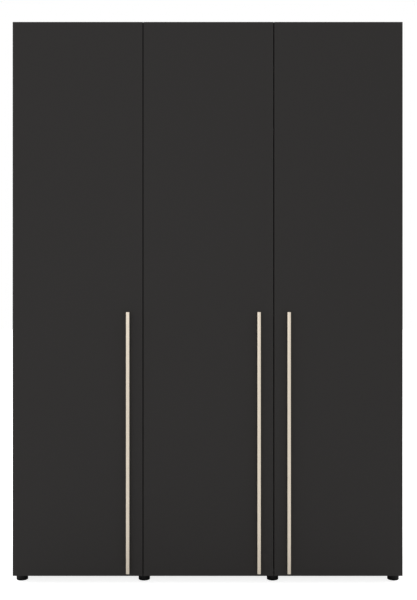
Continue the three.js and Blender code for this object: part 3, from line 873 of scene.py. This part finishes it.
def pin_rows(face_x):
    """A cutter for the two rows of shelf pin holes in an upright board's face."""
    boards = settings("boards")
    undrilled = 3 * boards.pitch
    count = int((CEILING - FLOOR_TOP - 2 * undrilled) / boards.pitch) + 1
    first = (face_x, CARCASS_FRONT + boards.system_line, FLOOR_TOP + undrilled - boards.pin_hole)
    across = CARCASS_REAR - CARCASS_FRONT - 2 * boards.system_line
    return in_rows("pin_holes", drill(boards.pin_hole, boards.pin_depth, "X"), "chipboard", first,
                   (0, 0, boards.pitch), count, (0, across, 0), 2)


class WARDROBE_OT_carcass(bpy.types.Operator):
    """Make the sides, top, bottom and partition, with edge bands and rows of pin holes"""

    bl_idname = "wardrobe.carcass"
    bl_label = "Carcass Boards"

    def execute(self, context):
        dark, pale = "graphite", "linen"
        boards = [
            ("left_side_board", "left_side_panel", {"-x": dark, "+x": pale}, ("-y", "-z", "+z"), "x"),
            ("right_side_board", "right_side_panel", {"+x": dark, "-x": pale}, ("-y", "-z", "+z"), "x"),
            ("top_board", "top_panel", {"+z": dark, "-z": pale}, ("-y",), "z"),
            ("bottom_board", "bottom_panel", {"-z": dark, "+z": pale}, ("-y",), "z"),
        ]
        for name, node, faces, bands, thin in boards:
            holes = pin_rows(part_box(node)[1].x) if name == "left_side_board" else None
            board = banded_board(name, node, faces, bands, thin, "graphite_band", holes)
            hand_over(board, CARCASS, "graphite_melamine", node)
        # The partition's pale board takes the dark band on its front edge. That band's painted shade also
        # stands in for the shade in the gap between the doors in front of it.
        node = "partition_panel"
        board = banded_board("partition_board", node, {"-x": pale, "+x": pale}, ("-y",), "x",
                             "graphite_band", pin_rows(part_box(node)[0].x))
        hand_over(board, CARCASS, "linen_melamine", node)
        return {"FINISHED"}


class WARDROBE_OT_shelves(bpy.types.Operator):
    """Make the adjustable shelves, the hat shelf and the pins that hold the shelves"""

    bl_idname = "wardrobe.shelves"
    bl_label = "Shelves"

    def execute(self, context):
        nodes = [f"left_bay_shelf_{i}" for i in range(1, 5)]
        for node in [*nodes, "hat_shelf"]:
            board = banded_board(f"{node}_board", node, {"+z": "linen", "-z": "linen"}, ("-y",), "z",
                                 "linen_band")
            hand_over(board, CARCASS, "linen_melamine", node)
        self.make_pins(nodes)
        return {"FINISHED"}

    def make_pins(self, nodes):
        """Each pin is a peg in its hole, a collar against the board and a tongue under the shelf."""
        boards = settings("boards")
        rows = [CARCASS_FRONT + boards.system_line, CARCASS_REAR - boards.system_line]
        for side, face_x, inward in (("left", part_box("left_side_panel")[1].x, 1),
                                     ("right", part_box("partition_panel")[0].x, -1)):
            places = [(face_x, y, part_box(node)[0].z) for node in nodes for y in rows]
            pins = at_places(f"shelf_pins_{side}", self.pin(inward), "nickel", places)
            hand_over(pins, CARCASS, "hinge_nickel")

    def pin(self, inward):
        """A pin that points to +X or -X, with its top at the shelf's underside."""
        radius = settings("boards").pin_hole
        chamfered, fitted, collar = 0.8 * radius, 0.94 * radius, 1.5 * radius
        sunk, gap, collar_end, reach = -5 * MM, 0.15 * MM, 1.2 * MM, 8 * MM
        profile = [(0, sunk), (chamfered, sunk), (fitted, sunk + 0.8 * MM), (fitted, gap), (collar, gap),
                   (collar, collar_end), (radius, collar_end + 0.2 * MM), (radius, reach),
                   (chamfered, reach + 0.4 * MM), (0, reach + 0.4 * MM)]
        bm = bmesh.new()
        turned(bm, [(r, inward * h) for r, h in profile], 16, axis="X", centre=(0, 0, -radius))
        return mesh_object("pin", bm, ["nickel"])


# ---------------------------------------------------------------- back


def nail():
    """A round nail head, standing out towards +Y from y = 0."""
    bm = bmesh.new()
    profile = mm((0, -1), (0.8, -1), (0.8, 0), (2.4, 0), (2.6, 0.2), (2.2, 0.5), (0, 0.6))
    turned(bm, profile, 10, axis="Y")
    return mesh_object("nail", bm, ["zinc"])


class WARDROBE_OT_back(bpy.types.Operator):
    """Finish the hardboard sheets and their joining strip, and nail the sheets on"""

    bl_idname = "wardrobe.back"
    bl_label = "Back"

    def execute(self, context):
        for side in ("left", "middle", "right"):
            self.give_finish(f"{side}_back_panel", "hardboard")
        self.give_finish("back_joining_strip", "grey_plastic")
        inset = 8 * MM
        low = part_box("left_back_panel")[0]
        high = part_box("right_back_panel")[1]
        centre = (low + high) / 2
        centre.y = high.y
        nails = repeated("back_nails", border_tree(), Piece=nail(), Middle=tuple(centre),
                         Width=high.x - low.x - 2 * inset, Height=high.z - low.z - 2 * inset,
                         Spacing=settings("hardware").nail_spacing, Finish=material("zinc"))
        hand_over(nails, CARCASS, "hinge_nickel")
        self.nail_partition(high.y)
        return {"FINISHED"}

    def give_finish(self, node, finish):
        """Puts a finish on a CAD node that stays in sight."""
        materials = frame["nodes"][node].data.materials
        materials.clear()
        materials.append(material(finish))

    def nail_partition(self, rear):
        """Two columns of nails hold the sheets that meet on the partition."""
        spacing = settings("hardware").nail_spacing
        count = int((CEILING - FLOOR_TOP) / spacing)
        off = 4 * MM
        first = (middle("partition_panel").x - off, rear, FLOOR_TOP + spacing / 2)
        nails = in_rows("partition_nails", nail(), "zinc", first, (0, 0, spacing), count, (2 * off, 0, 0), 2)
        hand_over(nails, CARCASS, "hinge_nickel")


# ---------------------------------------------------------------- feet


class WARDROBE_OT_feet(bpy.types.Operator):
    """Make the round glide feet"""

    bl_idname = "wardrobe.feet"
    bl_label = "Glide Feet"

    def execute(self, context):
        nodes = [f"{row}_foot_{i}" for row in ("front", "rear") for i in range(1, 5)]
        low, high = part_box(nodes[0])
        radius = (high.x - low.x) / 2
        places = [(middle(node).x, middle(node).y, 0) for node in nodes]
        feet = at_places("glide_feet", self.foot(radius, high.z), "black_plastic", places)
        hand_over(feet, CARCASS, "black_plastic", *nodes)
        return {"FINISHED"}

    def foot(self, radius, top):
        """A moulded glide: felted sole ring, round lower edge, straight drum, groove and neck."""
        well, ring, sole = radius * 16 / 45, radius * 18 / 45, radius * 24 / 45
        edge, step, neck = 2.5 * MM, 0.8 * MM, 5 * MM
        groove = radius - 0.5 * MM
        collar = radius * 40 / 45
        turns = [math.radians(degrees) for degrees in range(0, 91, 15)]
        lower_edge = [(radius - edge * (1 - math.sin(a)), edge * (1 - math.cos(a))) for a in turns]
        profile = [(0, 1.2 * MM), (well, 1.2 * MM), (ring, 0.3 * MM), (sole, 0), *lower_edge,
                   (radius, 9 * MM), (groove, 9.4 * MM), (groove, 10.2 * MM), (radius, 10.6 * MM),
                   (radius, top - neck - step), (radius - step, top - neck), (collar, top - neck),
                   (collar, top), (0, top)]
        bm = bmesh.new()
        turned(bm, profile, 48)
        return mesh_object("foot", bm, ["black_plastic"])


# ---------------------------------------------------------------- screws and caps


def screw_head(axis, outward, radius=None):
    """A pan head with a cross recess, standing out from the origin along an axis, towards + or -."""
    radius = radius or settings("hardware").screw_head
    height = 0.55 * radius
    profile = [(0, 0), (0.96, 0), (1, 0.35), (0.92, 0.68), (0.7, 0.92), (0.35, 1), (0, 1)]
    bm = bmesh.new()
    turned(bm, [(r * radius, outward * h * height) for r, h in profile], 20, axis=axis)
    head = mesh_object("screw", bm, ["zinc"])
    bm = bmesh.new()
    levels = sorted((outward * height * 0.45, outward * height * 2))
    verts = prism(bm, cross_outline(radius * 0.6, radius * 0.13), *levels)
    if axis != "Z":
        turn_plan(verts, axis)
    return carve(head, mesh_object("recess", bm, ["zinc"]))


def cross_outline(reach, half):
    """A plus sign: one arm, and the same arm after each quarter turn."""
    arm = [(half, -reach), (half, -half), (reach, -half)]
    outline = []
    for _ in range(4):
        outline += arm
        arm = [(-y, x) for x, y in arm]
    return outline


class WARDROBE_OT_fittings(bpy.types.Operator):
    """Make the caps over the cam fittings and the cams under the hat shelf"""

    bl_idname = "wardrobe.fittings"
    bl_label = "Cam Fittings"

    def execute(self, context):
        beside, inset = 34 * MM, 60 * MM
        rows = [CARCASS_FRONT + inset, (CARCASS_FRONT + CARCASS_REAR) / 2, CARCASS_REAR - inset]
        low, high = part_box("top_panel")
        wall = middle("partition_panel").x
        columns = [low.x + beside, wall - beside, wall + beside, high.x - beside]
        for name, z, up in (("top_cam_caps", high.z, 1),
                            ("bottom_cam_caps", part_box("bottom_panel")[0].z, -1)):
            places = [(x, y, z) for x in columns for y in rows]
            caps = at_places(name, self.cap(up), "black_plastic", places)
            hand_over(caps, CARCASS, "black_plastic")
        low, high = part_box("hat_shelf")
        columns = [low.x + beside, high.x - beside]
        places = [(x, y, low.z) for x in columns for y in (rows[0], rows[2])]
        cams = at_places("hat_shelf_cams", self.cam(), "zinc", places)
        hand_over(cams, CARCASS, "hinge_nickel")
        return {"FINISHED"}

    def cap(self, up):
        """A thin plastic cap with a stepped rim, facing up or down."""
        radius = settings("hardware").cam_cap
        rim, top, sunk = 0.5 * MM, 1.0 * MM, 0.75 * MM
        profile = [(0, 0), (radius, 0), (radius, rim), (radius - 0.6 * MM, top),
                   (radius - 1.6 * MM, top), (radius - 1.9 * MM, sunk), (0, sunk)]
        bm = bmesh.new()
        turned(bm, [(r, up * h) for r, h in profile], 28)
        return mesh_object("cap", bm, ["black_plastic"])

    def cam(self):
        """The face of a cam in its bore, with a screwdriver slot."""
        radius = settings("hardware").cam_cap * 0.88
        inside, rim, face = 0.2 * MM, -0.5 * MM, -0.8 * MM
        bm = bmesh.new()
        turned(bm, [(0, inside), (radius, inside), (radius, rim), (radius - 0.4 * MM, face), (0, face)], 24)
        cam = mesh_object("cam", bm, ["zinc"])
        slot = bmesh.new()
        box(slot, *mm((-5, -0.9, -2), (5, 0.9, -0.3)))
        return carve(cam, mesh_object("slot", slot, ["zinc"]))


# ---------------------------------------------------------------- hanging rail


def stadium(width, height, steps=14):
    """An upright oval with straight sides."""
    radius, straight = width / 2, (height - width) / 2
    turns = [math.pi * i / steps for i in range(steps + 1)]
    top = [(radius * math.cos(a), straight + radius * math.sin(a)) for a in turns]
    return top + [(-x, -y) for x, y in top]


class WARDROBE_OT_rail(bpy.types.Operator):
    """Make the oval hanging rail, its end sockets and its middle hanger"""

    bl_idname = "wardrobe.rail"
    bl_label = "Hanging Rail"

    # The tube's wall, the room round it in its sockets, and the plate and wall of a socket.
    tube_wall, room, plate, wall = 1.2 * MM, 0.4 * MM, 2.5 * MM, 2 * MM

    def execute(self, context):
        low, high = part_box("hanging_rail")
        self.thick, self.tall = high.y - low.y, high.z - low.z
        self.line = (low + high) / 2
        outer = self.section(0)
        inner = self.section(-self.tube_wall)
        bm = bmesh.new()
        rings = [[bm.verts.new((x, a, b)) for a, b in outline]
                 for x, outline in ((low.x, outer), (high.x, outer), (high.x, inner), (low.x, inner))]
        for near, far in zip(rings, rings[1:] + rings[:1]):
            for i in range(len(near)):
                bm.faces.new((near[i - 1], near[i], far[i], far[i - 1]))
        tube = mesh_object("hanging_tube", bm, ["chrome"])
        shift(tube.data.vertices, (0, self.line.y, self.line.z))
        hand_over(tube, CARCASS, "chrome_rail", "hanging_rail")
        for side, inward in (("left", 1), ("right", -1)):
            self.make_socket(side, inward)
        self.make_hanger()
        return {"FINISHED"}

    def section(self, outside):
        """The rail's oval, larger all round by a distance, or smaller by a negative one."""
        return stadium(self.thick + 2 * outside, self.tall + 2 * outside)

    def along(self, outline, start, end):
        """A bmesh of an upright outline run along X, and its vertices."""
        bm = bmesh.new()
        return bm, turn_plan(prism(bm, outline, start, end), "X")

    def saddle(self, name, start, end, hollow_start, opening):
        """A sleeve round the rail, hollow from a place onwards. The box called opening is cut away."""
        outside, _ = self.along(self.section(self.room + self.wall), start, end)
        inside, _ = self.along(self.section(self.room), hollow_start, 2 * end)
        cut = bmesh.new()
        box(cut, *opening)
        return carve(mesh_object(name, outside, ["nickel"]), mesh_object("hollow", inside, ["nickel"]),
                     mesh_object("opening", cut, ["nickel"]))

    def make_socket(self, side, inward):
        """An end plate with an open-topped socket and two screws."""
        node = f"rail_bracket_{side}"
        low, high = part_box(node)
        foot = low.x if inward > 0 else high.x
        reach = high.x - low.x
        wide, tall = self.thick + 2 * self.room, self.tall + 2 * self.room
        socket = self.saddle(f"rail_socket_{side}", self.plate - 0.1 * MM, reach, self.plate,
                             [(self.plate, -wide, tall / 4), (2 * reach, wide, tall)])
        bm, disc = self.along(stadium(high.y - low.y, high.z - low.z), 0, self.plate)
        soften(bm, 0.6 * MM, disc)
        joined(socket, mesh_object("disc", bm, ["nickel"]))
        for vert in socket.data.vertices:
            vert.co.x *= inward
        shift(socket.data.vertices, (foot, self.line.y, self.line.z))
        if inward < 0:
            socket.data.flip_normals()
        hand_over(socket, CARCASS, "hinge_nickel", node)
        screw_edge = 5.2 * MM
        half = (high.z - low.z) / 2 - screw_edge
        first = (foot + inward * self.plate, self.line.y, self.line.z - half)
        screws = in_rows(f"rail_screws_{side}", screw_head("X", inward, 2.6 * MM), "zinc", first,
                         (0, 0, 2 * half), 2)
        hand_over(screws, CARCASS, "hinge_nickel")

    def make_hanger(self):
        """A flange under the hat shelf, a stem and a saddle over the rail."""
        node = "rail_centre_bracket"
        low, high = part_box(node)
        x, stem, screw_off = middle(node).x, 5 * MM, 15 * MM
        half, top = 10 * MM, high.z - self.line.z
        tall = self.tall + 2 * self.room
        hanger = self.saddle("rail_hanger", -half, half, -2 * half,
                             [(-2 * half, -tall, -tall), (2 * half, tall, 0)])
        bm = bmesh.new()
        flange = prism(bm, rounded_box(high.x - low.x, high.y - low.y, 5 * MM), top - self.plate, top)
        soften(bm, 0.5 * MM, flange)
        rib = box(bm, (-half, -stem / 2, tall / 2 + self.room), (half, stem / 2, top - self.plate / 2))
        soften(bm, 0.8 * MM, rib)
        joined(hanger, mesh_object("flange", bm, ["nickel"]))
        shift(hanger.data.vertices, (x, self.line.y, self.line.z))
        hand_over(hanger, CARCASS, "hinge_nickel", node)
        first = (x - screw_off, self.line.y, high.z - self.plate)
        screws = in_rows("rail_hanger_screws", screw_head("Z", -1, 2.8 * MM), "zinc", first,
                         (2 * screw_off, 0, 0), 2)
        hand_over(screws, CARCASS, "hinge_nickel")


# ---------------------------------------------------------------- doors and handles


class WARDROBE_OT_doors(bpy.types.Operator):
    """Make the doors, edge-banded all round and bored for the hinge cups, with their closing pads"""

    bl_idname = "wardrobe.doors"
    bl_label = "Doors"

    bore_radius, bore_depth = 17.9 * MM, 12.4 * MM
    pad_radius, pad_gap, pad_inset = 4 * MM, 0.1 * MM, 20 * MM

    def execute(self, context):
        for door in DOORS:
            node = f"{door}_door_panel"
            first, spacing = hinge_row(door)
            cup = middle(hinge_nodes(door, "cup")[0])
            bores = in_rows("bores", drill(self.bore_radius, self.bore_depth, "Y", 48), "chipboard",
                            (cup.x, DOOR_BACK, first), (0, 0, spacing), 4)
            board = banded_board(f"{door}_door_board", node, {"-y": "graphite", "+y": "graphite"},
                                 ("-x", "+x", "-z", "+z"), "y", "graphite_band", bores)
            hand_over(board, f"{door}_door", "graphite_melamine", node)
            self.make_pads(door)
        return {"FINISHED"}

    def make_pads(self, door):
        """A small round pad near each closing corner faces the front edge of the top or the bottom."""
        low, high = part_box(f"{door}_door_panel")
        bottom = (FLOOR_TOP + low.z) / 2
        top = (CEILING + high.z) / 2
        radius, thick = self.pad_radius, CARCASS_FRONT - DOOR_BACK - self.pad_gap
        x = closing_edge(door) - hand(door) * self.pad_inset
        profile = [(0, 0), (radius, 0), (radius, thick * 0.5), (radius * 0.8, thick * 0.85),
                   (radius * 0.4, thick), (0, thick)]
        bm = bmesh.new()
        turned(bm, profile, 20, axis="Y")
        pads = in_rows(f"{door}_door_pads", mesh_object("pad", bm, ["rubber"]), "rubber",
                       (x, DOOR_BACK, bottom), (0, 0, top - bottom), 2)
        hand_over(pads, f"{door}_door", "grey_plastic")


class WARDROBE_OT_handles(bpy.types.Operator):
    """Make the long extruded handles and the screws that hold them from behind"""

    bl_idname = "wardrobe.handles"
    bl_label = "Handles"

    def execute(self, context):
        for door in DOORS:
            node = f"{door}_door_handle"
            low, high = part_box(node)
            bm = bmesh.new()
            prism(bm, self.section(high.x - low.x, low.y - DOOR_FRONT), low.z, high.z)
            self.ease_ends(bm, low.z, high.z)
            grip = mesh_object(f"{door}_door_grip", bm, ["champagne"])
            shift(grip.data.vertices, (middle(node).x, DOOR_FRONT, 0))
            hand_over(grip, f"{door}_door", "champagne_aluminium", node)
            self.make_screws(door, middle(node).x, low.z, high.z)
        return {"FINISHED"}

    def section(self, width, front):
        """An I in plan: a slightly crowned face, a thin web and a screw channel against the door."""
        face, web, base = width / 2, 1.5 * MM, 4.5 * MM
        behind, channel, gap, crown = front + 3 * MM, -6 * MM, -0.2 * MM, 0.35 * MM
        corner = 0.8 * MM
        steps = [1 - i / 4 for i in range(9)]
        curve = [(0.8 * face * step, front + crown * step ** 2, 0) for step in steps]
        half = [(base, gap, 0.2 * MM), (base, channel, corner), (web, channel, 0.6 * MM),
                (web, behind, corner), (face, behind, corner), (face, front + crown, 1.0 * MM)]
        return filleted(half + curve + [(-x, y, radius) for x, y, radius in reversed(half)], 4)

    def ease_ends(self, bm, low, high):
        """Takes the sharp edge off both sawn ends."""
        edges = [edge for edge in bm.edges
                 if any(all(abs(vert.co.z - end) < TINY for vert in edge.verts) for end in (low, high))]
        bmesh.ops.bevel(bm, geom=edges, offset=0.25 * MM, segments=1, affect="EDGES")

    def make_screws(self, door, x, low, high):
        """Evenly spaced screws through the door into the handle."""
        count = settings("hardware").handle_screws
        inset = 60 * MM
        spacing = (high - low - 2 * inset) / (count - 1)
        screws = in_rows(f"{door}_handle_screws", screw_head("Y", 1), "zinc", (x, DOOR_BACK, low + inset),
                         (0, 0, spacing), count)
        hand_over(screws, f"{door}_door", "hinge_nickel")


# ---------------------------------------------------------------- hinges


class WARDROBE_OT_hinges(bpy.types.Operator):
    """Make the concealed hinges: cups, arms with mounting plates, links and screws"""

    bl_idname = "wardrobe.hinges"
    bl_label = "Concealed Hinges"

    # Sizes across run from the door's hinged edge to its middle, and sizes in depth run from the
    # door's back into the carcass. A place is (across, depth) from the hinge's own place. The pins in
    # a cup end in the middle of its wall.
    arm_half, arm_end, arm_thick, nose = 7 * MM, 62 * MM, 8 * MM, 4.6 * MM
    plate_thick, plate_line, plate_screws = 3.6 * MM, 39 * MM, 19 * MM
    arm_screws, well_radius = (20 * MM, 50 * MM), 3.6 * MM
    cup_middle_wall, wing_screws, wing_reach, wing_thick = 17 * MM, 23 * MM, 6.5 * MM, 1.2 * MM
    link_pin, spring_pin = (8.5 * MM, -5.5 * MM), (11.5 * MM, -9.9 * MM)
    link_half, link_thin, knee_reach, knee_tilt = 4.5 * MM, 1.2 * MM, 7.5 * MM, math.radians(12)

    def execute(self, context):
        for door in DOORS:
            self.door = door
            self.hand = hand(door)
            self.first, self.spacing = hinge_row(door)
            self.place = Vector((hinge_edge(door), DOOR_BACK, self.first))
            self.cup_across = abs(middle(hinge_nodes(door, "cup")[0]).x - hinge_edge(door))
            pivot = JOINTS[f"{door}_door_link_pivot"]["pos_m"]
            self.pivot = (abs(pivot[0] - hinge_edge(door)), pivot[1] - DOOR_BACK)
            self.make_cups()
            self.make_arms()
            self.make_links()
        return {"FINISHED"}

    def row(self, name, piece, finish, offset=(0, 0, 0), rows=1, row_step=(0, 0, 0)):
        """Copies a piece to the door's four hinges."""
        return in_rows(name, piece, finish, self.place + Vector(offset), (0, 0, self.spacing), 4,
                       row_step, rows)

    def mirrored(self, bm, name):
        """What was drawn for a left-hand door, as a piece with the hand of this one."""
        for vert in bm.verts:
            vert.co.x *= self.hand
        return mesh_object(name, bm, ["nickel"])

    def make_cups(self):
        """The drawn cup with its rolled rim, two wings, the pins across it and the wings' screws."""
        across = self.cup_across
        cup = mm((0, -12), (15.5, -12), (16.8, -11.6), (17.5, -10.6), (17.5, 0.2), (19, 0.2),
                 (19, 0.8), (18.6, 1.2), (17.4, 1.2), (16.5, 0.5), (16.5, -10), (15.9, -10.8),
                 (14.8, -11), (9, -11), (8.4, -10.5), (4, -10.5), (3.4, -11), (0, -11))
        bm = bmesh.new()
        turned(bm, cup, 48, axis="Y", centre=(across, 0, 0))
        for side in (-1, 1):
            corners = mm((-4, side * 15, 0), (15, side * 10, 0), (15, side * 29, 5), (-4, side * 29, 5))
            verts = turn_plan(prism(bm, filleted(corners), 0.2 * MM, 1.25 * MM), "Y")
            shift(verts, (across, 0, 0))
            soften(bm, 0.35 * MM, verts)
        for pin, radius in ((self.link_pin, 1 * MM), (self.spring_pin, 0.8 * MM)):
            half = math.sqrt(self.cup_middle_wall ** 2 - (across - pin[0]) ** 2)
            rod(bm, radius, -half, half, 12, centre=(*pin, 0))
        cups = self.row(f"{self.door}_door_cups", self.mirrored(bm, "cup"), "nickel")
        hand_over(cups, f"{self.door}_door", "hinge_nickel", *hinge_nodes(self.door, "cup"))
        screws = self.row(f"{self.door}_cup_screws", screw_head("Y", 1, 3.4 * MM), "zinc",
                          (self.hand * (across + self.wing_reach), self.wing_thick, -self.wing_screws),
                          2, (0, 0, 2 * self.wing_screws))
        hand_over(screws, f"{self.door}_door", "hinge_nickel")

    def make_arms(self):
        """The cranked arm with the pin that the link turns on, its mounting plate and the screws."""
        nodes = hinge_nodes(self.door, "arm")
        edge = hinge_edge(self.door)
        face = min(abs(corner.x - edge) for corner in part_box(nodes[0]))
        base = face + self.plate_thick
        arm = self.slotted_arm(base)
        bm = bmesh.new()
        bm.from_mesh(arm.data)
        discard(arm)
        half = mm((-16, -25, 5), (16, -25, 5), (16, -13, 2), (20, -9, 2), (20, 9, 2), (16, 13, 2))
        wings = filleted(half + [(-y, -z, radius) for y, z, radius in half])
        plate = turn_plan(prism(bm, wings, face, base), "X")
        shift(plate, (0, self.plate_line, 0))
        soften(bm, 0.5 * MM, plate)
        rod(bm, 1.5 * MM, -6.9 * MM, 6.9 * MM, 16, centre=(*self.pivot, 0))
        arms = self.row(f"{self.door}_door_arms", self.mirrored(bm, "arm"), "nickel")
        hand_over(arms, CARCASS, "hinge_nickel", *nodes)
        near, far = self.arm_screws
        self.make_screws("plate", (base, self.plate_line, -self.plate_screws),
                         (0, 0, 2 * self.plate_screws), 3.6 * MM)
        self.make_screws("arm", (base + self.arm_thick - 4.2 * MM, near, 0), (0, far - near, 0), 3.2 * MM)

    def slotted_arm(self, base):
        """The arm alone, with its slot for the link and the wells of its two screws."""
        across, depth = self.pivot
        nose, back = self.nose, base - 0.2 * MM
        outline = filleted([
            (back, self.arm_end, 0), (base + self.arm_thick, self.arm_end, 3 * MM),
            (across + nose, 30 * MM, 12 * MM), (across + nose, depth - nose, nose * 0.98),
            (across - nose, depth - nose, nose * 0.98),
            (across - nose, 7 * MM, 4 * MM if base < across - nose else 0), (back, 16 * MM, 0),
        ], 8)
        bm = bmesh.new()
        soften(bm, 0.7 * MM, prism(bm, outline, -self.arm_half, self.arm_half), angle=50, segments=3)
        arm = mesh_object("arm", bm, ["nickel"])
        slot = bmesh.new()
        box(slot, (across - 2 * nose, depth - 2 * nose, -5 * MM),
            (across + 2 * nose, depth + 3.5 * MM, 5 * MM))
        wells = bmesh.new()
        for place in self.arm_screws:
            rod(wells, self.well_radius, -3 * MM, 9 * MM, 20, axis="X",
                centre=(base + self.arm_thick - 1.4 * MM, place, 0))
        return carve(arm, mesh_object("slot", slot, ["nickel"]), mesh_object("wells", wells, ["nickel"]))

    def make_screws(self, name, place, step, radius):
        """Two screws on each hinge, from a place and a step in the carcass."""
        across, depth, height = place
        screws = self.row(f"{self.door}_hinge_{name}_screws", screw_head("X", self.hand, radius), "zinc",
                          (self.hand * across, depth, height), 2, step)
        hand_over(screws, CARCASS, "hinge_nickel")

    def make_links(self):
        """Each hinge's link, from its eye on the arm to its pin in the cup."""
        knee = self.knee()
        half, thin = self.link_half, self.link_thin
        bm = bmesh.new()
        for ends in ((self.pivot, knee), (knee, self.link_pin)):
            start, end = (Vector(point) for point in ends)
            run = end - start
            side = Vector((-run.y, run.x)).normalized() * thin
            prism(bm, [start + side, end + side, end - side, start - side], -half, half)
        for point, radius in ((self.pivot, 3 * MM), (knee, thin), (self.link_pin, 1.7 * MM)):
            rod(bm, radius, -half, half, 20, centre=(*point, 0))
        links = self.row(f"{self.door}_door_link_set", self.mirrored(bm, "link"), "nickel")
        hand_over(links, f"{self.door}_door_links", "hinge_nickel", f"{self.door}_door_hinge_link_4")

    def knee(self):
        """
        The link's bend. It is placed so that the link comes nearly straight out of the cup when the
        door is fully open. turn is how far the link has turned by then, and the bend is then drawn
        back to where it is with the door shut.
        """
        pin = Vector(self.link_pin)
        joint = JOINTS[f"{self.door}_door_hinge"]
        axis = Vector(joint["pos_m"][:2]) - self.place.xy
        opening = math.radians(joint["range_deg"][1])
        radius = (pin - Vector((abs(axis.x), axis.y))).length
        length = (pin - Vector(self.pivot)).length
        turn = 2 * math.asin(radius * math.sin(opening / 2) / length)
        angle = math.pi / 2 + self.knee_tilt - opening - turn
        return tuple(pin + self.knee_reach * Vector((math.cos(angle), math.sin(angle))))


# ---------------------------------------------------------------- studio


class WARDROBE_OT_studio(bpy.types.Operator):
    """Make the floor, the soft lights and the camera"""

    bl_idname = "wardrobe.studio"
    bl_label = "Studio"

    def execute(self, context):
        context.scene.view_settings.view_transform = "Standard"
        self.make_floor()
        self.make_world()
        for name, place, aim, width, height, watts in (
                ("front_softbox", (-0.6, -5.4, 1.9), 1.2, 3.6, 2.4, 14),
                ("top_softbox", (0.0, 0.3, 5.2), 0.0, 5.0, 5.0, 90),
                ("left_softbox", (-4.2, -1.2, 2.4), 1.1, 2.2, 2.8, 20),
                ("rear_softbox", (2.6, 4.4, 3.2), 1.1, 2.6, 2.2, 30)):
            self.make_light(name, place, Vector((0, 0, aim)), width, height, watts)
        self.make_camera()
        return {"FINISHED"}

    def make_floor(self):
        """A large flat floor, which the feet stand on."""
        bm = bmesh.new()
        bmesh.ops.create_grid(bm, x_segments=4, y_segments=4, size=30)
        floor = mesh_object("floor", bm, ["floor"])

    def make_world(self):
        """White to look at, and a softer white as a light."""
        world = bpy.data.worlds.new("studio")
        world.use_nodes = True
        bpy.context.scene.world = world
        tree = world.node_tree
        tree.nodes.clear()
        seen = put(tree, "ShaderNodeBackground", {"Color": (1, 1, 1, 1), "Strength": 1.0})
        lit = put(tree, "ShaderNodeBackground",
                  {"Color": (1, 1, 1, 1), "Strength": settings("studio").surround})
        path = put(tree, "ShaderNodeLightPath")
        mixed = put(tree, "ShaderNodeMixShader",
                    {0: path.outputs["Is Camera Ray"], 1: lit.outputs[0], 2: seen.outputs[0]})
        put(tree, "ShaderNodeOutputWorld", {"Surface": mixed.outputs[0]})

    def make_light(self, name, place, target, width, height, watts):
        """A rectangular softbox that faces a target."""
        lamp = bpy.data.lights.new(name, "AREA")
        lamp.shape = "RECTANGLE"
        lamp.energy = watts
        lamp.size = width
        lamp.size_y = height
        light = bpy.data.objects.new(name, lamp)
        light.location = place
        light.rotation_euler = (target - Vector(place)).to_track_quat("-Z", "Y").to_euler()
        bpy.context.scene.collection.objects.link(light)

    def make_camera(self):
        """A level camera in front of the doors, a little to the right of the middle."""
        studio = settings("studio")
        camera = bpy.data.objects.new("camera", bpy.data.cameras.new("camera"))
        camera.data.lens = studio.lens
        camera.data.sensor_width = 36
        camera.location = (studio.side, DOOR_FRONT - studio.distance, studio.height)
        camera.rotation_euler = (math.pi / 2, 0, 0)
        bpy.context.scene.collection.objects.link(camera)
        bpy.context.scene.camera = camera


# ---------------------------------------------------------------- panel and registration


MAKERS = (
    WARDROBE_OT_studio,
    WARDROBE_OT_carcass,
    WARDROBE_OT_back,
    WARDROBE_OT_feet,
    WARDROBE_OT_shelves,
    WARDROBE_OT_rail,
    WARDROBE_OT_fittings,
    WARDROBE_OT_doors,
    WARDROBE_OT_handles,
    WARDROBE_OT_hinges,
)


class WARDROBE_PT_pieces(bpy.types.Panel):
    """Lists the settings and the pieces in the 3D view's sidebar"""

    bl_idname = "WARDROBE_PT_pieces"
    bl_label = "Wardrobe"
    bl_space_type = "VIEW_3D"
    bl_region_type = "UI"
    bl_category = "Wardrobe"

    def draw(self, context):
        for name, group in SETTINGS.items():
            column = self.layout.column(align=True)
            column.label(text=group.__doc__)
            for label in group.__annotations__:
                column.prop(getattr(context.scene, name), label)
        column = self.layout.column(align=True)
        for maker in MAKERS:
            column.operator(maker.bl_idname)


CLASSES = (*SETTINGS.values(), *MAKERS, WARDROBE_PT_pieces)


def register():
    """Registers the classes, and puts the settings on the scene."""
    for cls in CLASSES:
        bpy.utils.register_class(cls)
    for name, group in SETTINGS.items():
        setattr(bpy.types.Scene, name, PointerProperty(type=group))


def unregister():
    """Takes away what register added."""
    for name in SETTINGS:
        delattr(bpy.types.Scene, name)
    for cls in reversed(CLASSES):
        bpy.utils.unregister_class(cls)


def main():
    """Makes every piece in order."""
    register()
    for maker in MAKERS:
        name = maker.bl_idname.split(".")[1]
        getattr(bpy.ops.wardrobe, name)()


if __name__ == "__main__":
    main()
